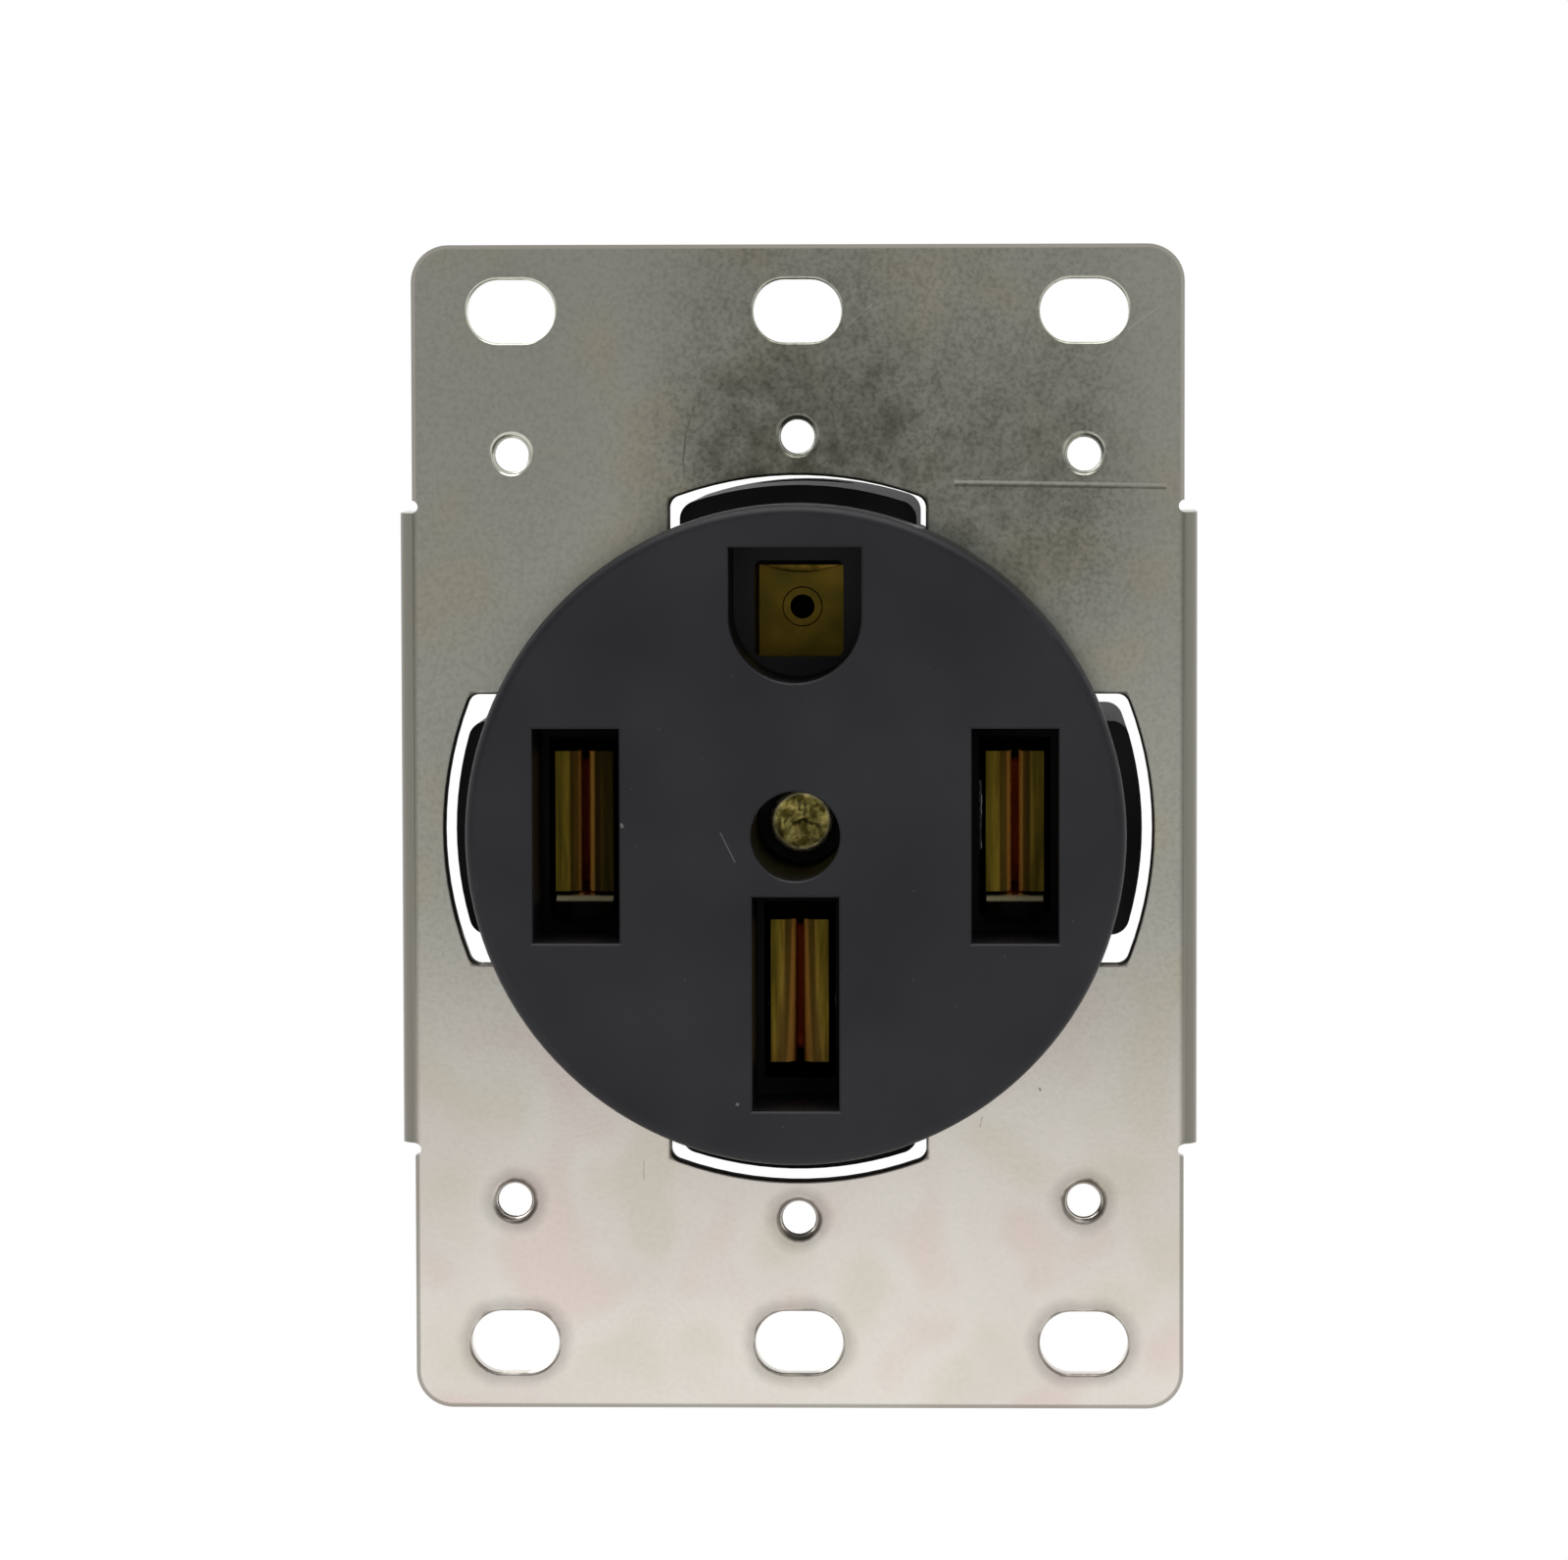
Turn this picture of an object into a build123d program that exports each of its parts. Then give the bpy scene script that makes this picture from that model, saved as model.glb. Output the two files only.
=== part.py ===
"""Four-pole, four-wire flush socket outlet for 50 A on a two-gang steel mounting strap.

Millimetres. X runs to the right and Z up as the outlet is seen on the wall, and Y runs into
the wall. Y = 0 is the rear of the strap, the face that bears on the outlet box, and the
origin lies midway between the four box screws.
"""

import os
from math import cos, radians, sin

from build123d import *

os.makedirs("parts", exist_ok=True)

# Mounting strap, bent from one steel sheet
STRAP_HEIGHT = 94.0
STRAP_BORDER = 2.55
TAB_CORNER = 3.0
STRAP_SHEET = 1.5
FLANGE_STAND = 1.1
FLANGE_LENGTH = 51.0
FLANGE_DEPTH = 7.0
BEND_INSIDE = 0.5
RELIEF_WIDTH = 1.0
RELIEF_INSET = 0.45
STRAP_EDGE = 0.25

# Fixing holes of the strap, on the two-gang pitches
GANG_SPACING = 46.04
BOX_SCREW_SPACING = 83.34
BOX_SLOT_LENGTH = 7.1
BOX_SLOT_WIDTH = 5.05
PLATE_SCREW_SPACING = 60.33
MID_HOLE_BORDER = 3.1
PLATE_HOLE = 2.9
PLATE_HOLE_ROLL = 0.45

# Opening in the middle of the strap: a circle with four lobes
LOBE_STEP = 4.3
END_LOBE_WIDTH = 20.6
SIDE_LOBE_WIDTH = 21.8
LOBE_CORNER = 1.0

# Face, the moulding that the plug meets
FACE_BORDER = 5.365
FACE_OVERHANG = 2.5
FACE_RISE = 8.5
FACE_EDGE = 0.8
SPIGOT_REACH = 3.0
BOSS_RADIUS = 5.2
MOUTH_EDGE = 0.15

# Plug openings of the face, from its centre
BLADE_SLOT_WIDTH = 6.95
BLADE_SLOT_HEIGHT = 17.1
PIN_OFFSET = 17.46
NEUTRAL_OFFSET = 13.4
GROUND_SLOT_WIDTH = 10.6
GROUND_SLOT_RISE = 5.5
GROUND_LEDGE = 0.9
GROUND_WINDOW_WIDTH = 7.2
GROUND_WINDOW_HEIGHT = 7.8
GROUND_WINDOW_RISE = 0.2
GROUND_WINDOW_CORNER = 0.6
CENTRE_HOLE = 7.15

# Clearances
STRAP_CLEARANCE = 0.4
MOULD_CLEARANCE = 0.2
METAL_CLEARANCE = 0.05
THREAD_CLEARANCE = 0.02

# Base housing, the moulding behind the strap
BASE_BLOCK = 16.0
BASE_WALL = 2.0
PAD_SPAN = 46.0
PAD_CORNER = 9.0
EAR_MARGIN = 0.8
END_EAR_WIDTH = 19.1
SIDE_EAR_WIDTH = 17.3
EAR_CORNER = 1.5
TOWER_ROOT = 4.0
CHAMBER_DEPTH = 15.3
PARTITION = 1.2

# Terminal cover, the plate that closes the towers at the rear
COVER_PLATE = 4.4
HUB_WALL = 1.5
HUB_REACH = 2.6
HUB_FLOOR = 2.4
REAR_EDGE = 0.8
WIRE_HOLE = 8.0
WIRE_FUNNEL = 1.0
DRIVER_HOLE = 8.4

# Screw that draws the base to the face, with its insert and washer
SCREW_DIAMETER = 4.83
SCREW_TIP_RECESS = 18.0
SCREW_HEAD = 9.0
SCREW_HEAD_HEIGHT = 3.2
SCREW_SLOT = 1.3
WASHER_DIAMETER = 10.0
WASHER_SHEET = 1.0
INSERT_DIAMETER = 7.8
INSERT_LENGTH = 5.0
INSERT_COVER = 1.0
SCREW_OVERRUN = 4.0
SCREW_ROUND = 0.4
INSERT_GROOVE = 0.4
INSERT_GROOVE_WIDTH = 1.6

# Contacts, folded from brass sheet
CONTACT_SHEET = 0.9
CONTACT_HEIGHT = 11.6
CONTACT_RAISE = 0.3
CONTACT_RECESS = 12.0
LIP_SPAN = 4.7
LIP_BEND = 0.7
THROAT = 3.0
PINCH_GAP = 0.6
CHANNEL_WIDTH = 5.4
CHANNEL_START = 7.4
WEB_RECESS = 0.6
CHANNEL_END = 13.6
CROSSING = 1.0
TONGUE_WIDTH = 4.6
TONGUE_LIP = 1.5
TONGUE_SLIT = 0.2
TAIL_RECESS = 0.4
BEND_RADIUS = 1.0

# Ground contact
GROUND_LEAF_FRONT = 3.8
GROUND_MOUTH = 9.8
GROUND_PINCH = 6.5
GROUND_PINCH_GAP = 7.2
GROUND_CHANNEL = 9.4
GROUND_CHANNEL_START = 9.5
GROUND_PLATE = 12.5
GROUND_BEND = 0.8
GROUND_PLATE_FOOT = 4.86
GROUND_PLATE_HEAD = 3.5
GROUND_PLATE_HOLLOW = 0.7

# Strip riveted behind the ground contact, which bonds the strap
BOND_SHEET = 0.9
BOND_REACH = 17.5
BOND_WIDTH = 5.2
BOND_ARM_WIDTH = 2.7
BOND_OVERLAP = 3.0
BOND_CLEARANCE = 0.02
RIVET_SHANK = 2.8
RIVET_BORE = 2.0
RIVET_COLLAR = 3.3
RIVET_COLLAR_HEIGHT = 0.2
RIVET_HEAD = 4.8
RIVET_HEAD_HEIGHT = 0.8

# Lugs with their set screws
LUG_WIDTH = 12.6
LUG_LENGTH = 9.7
LUG_INNER_WALL = 1.8
LUG_WINDOW = 6.8
LUG_WINDOW_WIDTH = 8.4
LUG_WINDOW_CORNER = 1.5
LUG_THREAD_WALL = 3.2
LUG_EDGE = 0.5
SET_SCREW = 7.0
SET_SCREW_LENGTH = 5.8
SET_SCREW_SLOT = 1.2
SET_SCREW_SLOT_DEPTH = 1.6
SET_SCREW_TIP = 0.8

# Levels along Y
STRAP_FRONT = -STRAP_SHEET
FACE_FRONT = STRAP_FRONT - FACE_RISE
SPIGOT_END = SPIGOT_REACH
RECESS_FLOOR = SPIGOT_END + MOULD_CLEARANCE
LUG_SHELF = CHAMBER_DEPTH + PARTITION
LUG_START = LUG_SHELF + MOULD_CLEARANCE
LUG_END = LUG_START + LUG_LENGTH
LUG_MIDDLE = (LUG_START + LUG_END) / 2
TAIL_END = LUG_END - TAIL_RECESS
COVER_START = LUG_END + MOULD_CLEARANCE
BASE_DEPTH = COVER_START + COVER_PLATE
SCREW_TIP = FACE_FRONT + SCREW_TIP_RECESS
INSERT_START = SCREW_TIP + SCREW_OVERRUN
BOSS_END = INSERT_START + INSERT_LENGTH
WEB_START = BOSS_END + MOULD_CLEARANCE
WEB_END = COVER_START - HUB_REACH
WASHER_SEAT = WEB_END + HUB_FLOOR
HEAD_SEAT = WASHER_SEAT + WASHER_SHEET
CONTACT_FRONT = FACE_FRONT + CONTACT_RECESS
THROAT_END = CONTACT_FRONT + THROAT
WEB_FRONT = CHANNEL_START + WEB_RECESS

# Radii and spans that grow out from the plug's layout
FACE_RADIUS = PIN_OFFSET + BLADE_SLOT_WIDTH / 2 + FACE_BORDER
SPIGOT_RADIUS = FACE_RADIUS - FACE_OVERHANG
STRAP_HOLE_RADIUS = SPIGOT_RADIUS + STRAP_CLEARANCE
RECESS_RADIUS = SPIGOT_RADIUS + MOULD_CLEARANCE
LOBE_RADIUS = STRAP_HOLE_RADIUS + LOBE_STEP
EAR_RADIUS = LOBE_RADIUS - EAR_MARGIN
BASE_RADIUS = RECESS_RADIUS + BASE_WALL
TAB_WIDTH = 2 * (LOBE_RADIUS + STRAP_BORDER)
MID_SCREW_SPACING = 2 * (LOBE_RADIUS + MID_HOLE_BORDER)

# Places worked out from the sizes above
FLANGE_SPAN = TAB_WIDTH + 2 * FLANGE_STAND
HALF_SHEET = CONTACT_SHEET / 2
LEAF_LINE = (CHANNEL_WIDTH - CONTACT_SHEET) / 2
PINCH_LINE = (PINCH_GAP + CONTACT_SHEET) / 2
LIP_LINE = CONTACT_FRONT + HALF_SHEET
LEDGE_FRONT = SPIGOT_END - GROUND_LEDGE
GROUND_LEAF_LINE = (GROUND_CHANNEL - CONTACT_SHEET) / 2
GROUND_MOUTH_LINE = (GROUND_MOUTH - CONTACT_SHEET) / 2
GROUND_PINCH_LINE = (GROUND_PINCH_GAP + CONTACT_SHEET) / 2
GROUND_FOOT = PIN_OFFSET - GROUND_PLATE_FOOT
GROUND_HEAD = PIN_OFFSET + GROUND_PLATE_HEAD
LINE_TAIL = PIN_OFFSET - CHANNEL_WIDTH / 2
BOND_LINE = BOND_REACH - BOND_SHEET / 2
BOND_FRONT = GROUND_PLATE + HALF_SHEET
BOND_END = BOND_FRONT + BOND_SHEET
HEAD_POCKET = WASHER_DIAMETER / 2 + MOULD_CLEARANCE
HUB_RADIUS = HEAD_POCKET + HUB_WALL
SCREW_PASSAGE = SCREW_DIAMETER / 2 + MOULD_CLEARANCE
TAIL_WIDTH = LUG_WINDOW_WIDTH - 2 * LUG_WINDOW_CORNER
LUG_HEIGHT = LUG_INNER_WALL + LUG_WINDOW + LUG_THREAD_WALL

# Terminals: direction from the centre in degrees, and distance of the contact's tail
TERMINAL_ANGLE = {"line_x": 180, "line_y": 0, "neutral": 270, "ground": 90}
TERMINAL_TAIL = {
    "line_x": LINE_TAIL,
    "line_y": LINE_TAIL,
    "neutral": LINE_TAIL,
    "ground": GROUND_FOOT,
}


def across(depth):
    """Plane that faces the front, with X right and Z up, at a depth along Y."""
    return Plane.XZ.offset(-depth)


def behind(depth, angle):
    """Plane at a depth along Y that looks into the wall, with its x along a terminal's direction."""
    return Plane(origin=(0, depth, 0), x_dir=outward(angle), z_dir=(0, 1, 0))


def outward(angle):
    """Unit direction from the centre towards a terminal."""
    return (cos(radians(angle)), 0, sin(radians(angle)))


def beside(angle, radius, depth):
    """Plane square to a terminal's direction, for its set screw."""
    direction = outward(angle)
    return Plane(
        origin=(direction[0] * radius, depth, direction[2] * radius),
        x_dir=(0, 1, 0),
        z_dir=direction,
    )


def level(x, z):
    """Plane at a height that looks down on X and Y, with its origin at a place across."""
    return Plane(origin=(x, 0, z), x_dir=(1, 0, 0), z_dir=(0, 0, 1))


def lug_foot(tail):
    """Distance of a lug's inner side from the centre, below the tail that lies in its window."""
    return tail - METAL_CLEARANCE - LUG_INNER_WALL


def save(shape, name):
    """Label a finished piece and write it as its own file."""
    shape.label = name
    export_step(shape, f"parts/{name}.step")


# Mounting strap: a shallow channel between two flat tabs
with BuildPart() as mounting_strap:
    with BuildSketch(Plane.XY) as channel:
        with Locations((0, (FLANGE_DEPTH - STRAP_SHEET) / 2)):
            Rectangle(FLANGE_SPAN, FLANGE_DEPTH + STRAP_SHEET)
        fillet(channel.vertices().group_by(Axis.Y)[0], BEND_INSIDE + STRAP_SHEET)
        with BuildSketch(mode=Mode.SUBTRACT) as trough:
            with Locations((0, FLANGE_DEPTH)):
                Rectangle(FLANGE_SPAN - 2 * STRAP_SHEET, 2 * FLANGE_DEPTH)
            fillet(trough.vertices().group_by(Axis.Y)[0], BEND_INSIDE)
    extrude(amount=FLANGE_LENGTH / 2, both=True)
    with BuildSketch(across(STRAP_FRONT)):
        RectangleRounded(TAB_WIDTH, STRAP_HEIGHT, TAB_CORNER)
    extrude(amount=-STRAP_SHEET)
    with BuildSketch(across(STRAP_FRONT)) as openings:
        relief_x = (TAB_WIDTH + FLANGE_SPAN) / 4 + RELIEF_WIDTH
        with GridLocations(2 * relief_x, FLANGE_LENGTH + RELIEF_WIDTH, 2, 2):
            relief_reach = relief_x - TAB_WIDTH / 2 + RELIEF_INSET
            SlotOverall(2 * relief_reach, RELIEF_WIDTH)
        with GridLocations(GANG_SPACING / 2, BOX_SCREW_SPACING, 3, 2):
            SlotOverall(BOX_SLOT_LENGTH, BOX_SLOT_WIDTH)
        with GridLocations(GANG_SPACING, PLATE_SCREW_SPACING, 2, 2):
            Circle(PLATE_HOLE / 2)
        with GridLocations(0, MID_SCREW_SPACING, 1, 2):
            Circle(PLATE_HOLE / 2)
        with BuildSketch() as lobes:
            Rectangle(END_LOBE_WIDTH, 3 * LOBE_RADIUS)
            Rectangle(3 * LOBE_RADIUS, SIDE_LOBE_WIDTH)
            Circle(LOBE_RADIUS, mode=Mode.INTERSECT)
            Circle(STRAP_HOLE_RADIUS)
            tips = lobes.vertices().filter_by(
                lambda v: Vector(v.X, v.Y).length > (LOBE_RADIUS + STRAP_HOLE_RADIUS) / 2
            )
            fillet(tips, LOBE_CORNER)
    extrude(amount=-STRAP_SHEET, mode=Mode.SUBTRACT)
    front_face = mounting_strap.faces().filter_by(Axis.Y).sort_by(Axis.Y)[0]
    round_holes = front_face.inner_wires().filter_by(lambda w: len(w.edges()) == 1)
    fillet(round_holes.edges(), PLATE_HOLE_ROLL)
    front_face = mounting_strap.faces().filter_by(Axis.Y).sort_by(Axis.Y)[0]
    wide_holes = front_face.inner_wires().filter_by(lambda w: len(w.edges()) > 1)
    fillet(wide_holes.edges(), STRAP_EDGE)
save(mounting_strap.part, "mounting_strap")


def blade_places():
    """Centres of the three blade slots, as X and Z."""
    return [(-PIN_OFFSET, 0), (PIN_OFFSET, 0), (0, -NEUTRAL_OFFSET)]


# Face: a thick disc with a spigot through the strap and a boss for the insert
with BuildPart() as face_cover:
    with BuildSketch(across(FACE_FRONT)):
        Circle(FACE_RADIUS)
    extrude(amount=-FACE_RISE)
    fillet(face_cover.edges().filter_by(GeomType.CIRCLE).sort_by(Axis.Y)[0], FACE_EDGE)
    with BuildSketch(across(STRAP_FRONT)):
        Circle(SPIGOT_RADIUS)
    extrude(amount=-(SPIGOT_END - STRAP_FRONT))
    with BuildSketch(across(FACE_FRONT)):
        with Locations(*blade_places()):
            Rectangle(BLADE_SLOT_WIDTH, BLADE_SLOT_HEIGHT)
    extrude(amount=-(SPIGOT_END - FACE_FRONT), mode=Mode.SUBTRACT)
    with BuildSketch(across(FACE_FRONT)):
        with Locations((0, PIN_OFFSET)):
            Circle(GROUND_SLOT_WIDTH / 2)
        with Locations((0, PIN_OFFSET + GROUND_SLOT_RISE / 2)):
            Rectangle(GROUND_SLOT_WIDTH, GROUND_SLOT_RISE)
    extrude(amount=-(LEDGE_FRONT - FACE_FRONT), mode=Mode.SUBTRACT)
    with BuildSketch(across(LEDGE_FRONT)):
        with Locations((0, PIN_OFFSET + GROUND_WINDOW_RISE)):
            RectangleRounded(GROUND_WINDOW_WIDTH, GROUND_WINDOW_HEIGHT, GROUND_WINDOW_CORNER)
    extrude(amount=-GROUND_LEDGE, mode=Mode.SUBTRACT)
    with BuildSketch(across(SPIGOT_END)):
        Circle(BOSS_RADIUS)
        with Locations((0, -NEUTRAL_OFFSET)):
            Rectangle(BLADE_SLOT_WIDTH, BLADE_SLOT_HEIGHT, mode=Mode.SUBTRACT)
    extrude(amount=-(BOSS_END - SPIGOT_END))
    with BuildSketch(across(FACE_FRONT)):
        Circle(CENTRE_HOLE / 2)
    extrude(amount=-(INSERT_START - INSERT_COVER - FACE_FRONT), mode=Mode.SUBTRACT)
    with BuildSketch(across(SCREW_TIP)):
        Circle(SCREW_PASSAGE)
    extrude(amount=-(INSERT_START - SCREW_TIP), mode=Mode.SUBTRACT)
    mouths = face_cover.faces().filter_by(Axis.Y).sort_by(Axis.Y)[0].inner_wires()
    chamfer(mouths.edges(), MOUTH_EDGE)
    with BuildSketch(across(INSERT_START)):
        Circle(INSERT_DIAMETER / 2)
    extrude(amount=-INSERT_LENGTH, mode=Mode.SUBTRACT)
save(face_cover.part, "face_cover")


def towers(outline):
    """Draw the four terminal towers, rounded at their ends and roots, in an open sketch."""
    Rectangle(END_EAR_WIDTH, 3 * EAR_RADIUS)
    Rectangle(3 * EAR_RADIUS, SIDE_EAR_WIDTH)
    Circle(EAR_RADIUS, mode=Mode.INTERSECT)
    ends = outline.vertices().filter_by(lambda v: Vector(v.X, v.Y).length > BASE_RADIUS)
    fillet(ends, EAR_CORNER)
    roots = outline.vertices().filter_by(lambda v: Vector(v.X, v.Y).length < PAD_SPAN / 2)
    fillet(roots, TOWER_ROOT)


# Base housing: a block behind the strap with a chamber for each contact, and behind the
# partition four towers with a well for each lug
with BuildPart() as base_housing:
    with BuildSketch(across(0)) as block:
        towers(block)
        Circle(BASE_RADIUS)
        RectangleRounded(PAD_SPAN, PAD_SPAN, PAD_CORNER)
    extrude(amount=-BASE_BLOCK)
    with BuildSketch(across(BASE_BLOCK)) as rear:
        towers(rear)
    extrude(amount=-(COVER_START - BASE_BLOCK))
    with BuildSketch(across(0)):
        Circle(RECESS_RADIUS)
    extrude(amount=-RECESS_FLOOR, mode=Mode.SUBTRACT)
    with BuildSketch(across(0)):
        Circle(BOSS_RADIUS + MOULD_CLEARANCE)
    extrude(amount=-WEB_START, mode=Mode.SUBTRACT)
    with BuildSketch(across(0)):
        Circle(SCREW_PASSAGE)
    extrude(amount=-WEB_END, mode=Mode.SUBTRACT)
    with BuildSketch(across(WEB_END)):
        Circle(HUB_RADIUS + MOULD_CLEARANCE)
    extrude(amount=-(COVER_START - WEB_END), mode=Mode.SUBTRACT)
    with BuildSketch(across(0)):
        with Locations(*blade_places()):
            Rectangle(
                CHANNEL_WIDTH + 2 * MOULD_CLEARANCE,
                CONTACT_HEIGHT + 2 * (CONTACT_RAISE + CONTACT_SHEET + MOULD_CLEARANCE),
            )
        with Locations((0, (GROUND_FOOT + GROUND_HEAD) / 2)):
            Rectangle(
                GROUND_MOUTH + 2 * MOULD_CLEARANCE,
                GROUND_HEAD - GROUND_FOOT + 2 * MOULD_CLEARANCE,
            )
    extrude(amount=-CHAMBER_DEPTH, mode=Mode.SUBTRACT)
    with BuildSketch(across(0)):
        with Locations((-BOND_REACH / 2, GROUND_HEAD - BOND_WIDTH / 2)):
            Rectangle(BOND_REACH + 2 * MOULD_CLEARANCE, BOND_WIDTH + 2 * MOULD_CLEARANCE)
    extrude(amount=-(BOND_END + MOULD_CLEARANCE), mode=Mode.SUBTRACT)
    for name, tail in TERMINAL_TAIL.items():
        angle = TERMINAL_ANGLE[name]
        lug_line = lug_foot(tail) + LUG_HEIGHT / 2
        with BuildSketch(behind(CHAMBER_DEPTH, angle)):
            with Locations((tail + HALF_SHEET, 0)):
                Rectangle(CONTACT_SHEET + 2 * MOULD_CLEARANCE, TAIL_WIDTH + 2 * MOULD_CLEARANCE)
        extrude(amount=PARTITION, mode=Mode.SUBTRACT)
        with BuildSketch(behind(LUG_SHELF, angle)):
            with Locations((lug_line, 0)):
                Rectangle(LUG_HEIGHT + 2 * MOULD_CLEARANCE, LUG_WIDTH + 2 * MOULD_CLEARANCE)
        extrude(amount=COVER_START - LUG_SHELF, mode=Mode.SUBTRACT)
        with BuildSketch(beside(angle, lug_line, LUG_MIDDLE)):
            Circle(DRIVER_HOLE / 2)
        extrude(amount=EAR_RADIUS, mode=Mode.SUBTRACT)
save(base_housing.part, "base_housing")

# Terminal cover: closes the wells behind the lugs, with a hub for the screw and four wire holes
with BuildPart() as terminal_cover:
    with BuildSketch(across(COVER_START)) as plate:
        towers(plate)
    extrude(amount=-(BASE_DEPTH - COVER_START))
    fillet(terminal_cover.edges().group_by(Axis.Y)[-1], REAR_EDGE)
    with BuildSketch(across(WEB_END)):
        Circle(HUB_RADIUS)
    extrude(amount=-(COVER_START - WEB_END))
    with BuildSketch(across(WEB_END)):
        Circle(SCREW_PASSAGE)
    extrude(amount=-(BASE_DEPTH - WEB_END), mode=Mode.SUBTRACT)
    with BuildSketch(across(WASHER_SEAT)):
        Circle(HEAD_POCKET)
    extrude(amount=-(BASE_DEPTH - WASHER_SEAT), mode=Mode.SUBTRACT)
    for name, tail in TERMINAL_TAIL.items():
        angle = TERMINAL_ANGLE[name]
        window_top = lug_foot(tail) + LUG_INNER_WALL + LUG_WINDOW
        with BuildSketch(behind(COVER_START, angle)):
            with Locations(((tail + CONTACT_SHEET + window_top) / 2, 0)):
                Circle(WIRE_HOLE / 2)
        extrude(amount=BASE_DEPTH - COVER_START, mode=Mode.SUBTRACT)
    rear_face = terminal_cover.faces().filter_by(Axis.Y).sort_by(Axis.Y)[-1]
    wire_mouths = rear_face.inner_wires().filter_by(
        lambda w: Vector(w.center().X, w.center().Z).length > HEAD_POCKET
    )
    chamfer(wire_mouths.edges(), WIRE_FUNNEL)
save(terminal_cover.part, "terminal_cover")


def blade_leaves(x, z):
    """Channel whose two leaves close on the blade, behind lips that flare outwards."""
    bends = [LIP_BEND, BEND_RADIUS, BEND_RADIUS, BEND_RADIUS]
    with BuildSketch(level(x, z - CONTACT_HEIGHT / 2)) as leaves:
        with BuildLine():
            FilletPolyline(
                (-LIP_SPAN / 2, LIP_LINE),
                (-PINCH_LINE, LIP_LINE),
                (-PINCH_LINE, THROAT_END),
                (-LEAF_LINE, CHANNEL_START),
                (-LEAF_LINE, CHANNEL_END),
                (LEAF_LINE, CHANNEL_END),
                (LEAF_LINE, CHANNEL_START),
                (PINCH_LINE, THROAT_END),
                (PINCH_LINE, LIP_LINE),
                (LIP_SPAN / 2, LIP_LINE),
                radius=bends + bends[::-1],
            )
        trace(line_width=CONTACT_SHEET)
    extrude(leaves.sketch, amount=CONTACT_HEIGHT)


def blade_web(x, z, side):
    """Web that joins the leaves of a channel along one edge."""
    with BuildSketch(level(x, z + side * CONTACT_HEIGHT / 2)) as web:
        with Locations((0, (WEB_FRONT + CHANNEL_END) / 2)):
            Rectangle(CHANNEL_WIDTH, CHANNEL_END - WEB_FRONT)
    extrude(web.sketch, amount=side * CONTACT_SHEET)


def blade_tongue(x, z):
    """Tongue that runs forward from a lower web, slit free of the leaves, with a lip turned down."""
    edge = z - CONTACT_HEIGHT / 2
    with BuildSketch(Plane.YZ.offset(x - TONGUE_WIDTH / 2)) as tongue:
        with BuildLine():
            FilletPolyline(
                (WEB_FRONT, edge - HALF_SHEET),
                (LIP_LINE, edge - HALF_SHEET),
                (LIP_LINE, edge - HALF_SHEET - TONGUE_LIP),
                radius=LIP_BEND,
            )
        trace(line_width=CONTACT_SHEET)
    extrude(tongue.sketch, amount=TONGUE_WIDTH)
    with BuildSketch(level(x, edge)) as slit:
        with Locations((0, (CONTACT_FRONT + WEB_FRONT) / 2)):
            Rectangle(2 * CHANNEL_WIDTH, WEB_FRONT - CONTACT_FRONT)
    extrude(slit.sketch, amount=TONGUE_SLIT, mode=Mode.SUBTRACT)


# Line contacts: the leaf nearer the centre runs on as the tail
for name, side in (("line_x_contact", -1), ("line_y_contact", 1)):
    with BuildPart() as line_contact:
        blade_leaves(side * PIN_OFFSET, CONTACT_RAISE)
        blade_web(side * PIN_OFFSET, CONTACT_RAISE, -1)
        blade_tongue(side * PIN_OFFSET, CONTACT_RAISE)
        with BuildSketch(level(side * (PIN_OFFSET - LEAF_LINE), -TAIL_WIDTH / 2)):
            with Locations((0, (CHANNEL_START + TAIL_END) / 2)):
                Rectangle(CONTACT_SHEET, TAIL_END - CHANNEL_START)
        extrude(amount=TAIL_WIDTH)
    save(line_contact.part, name)

# Neutral contact: its web crosses behind the leaves and runs on as the tail
with BuildPart() as neutral_contact:
    blade_leaves(0, -NEUTRAL_OFFSET)
    blade_web(0, -NEUTRAL_OFFSET, 1)
    web_line = CONTACT_HEIGHT / 2 + HALF_SHEET - NEUTRAL_OFFSET
    tail_line = -LINE_TAIL - HALF_SHEET
    with BuildSketch(Plane.YZ.offset(-TAIL_WIDTH / 2)):
        with BuildLine():
            FilletPolyline(
                (WEB_FRONT, web_line),
                (CHANNEL_END + CROSSING, web_line),
                (CHANNEL_END + CROSSING, tail_line),
                (TAIL_END, tail_line),
                radius=BEND_RADIUS,
            )
        trace(line_width=CONTACT_SHEET)
    extrude(amount=TAIL_WIDTH)
save(neutral_contact.part, "neutral_contact")

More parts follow.
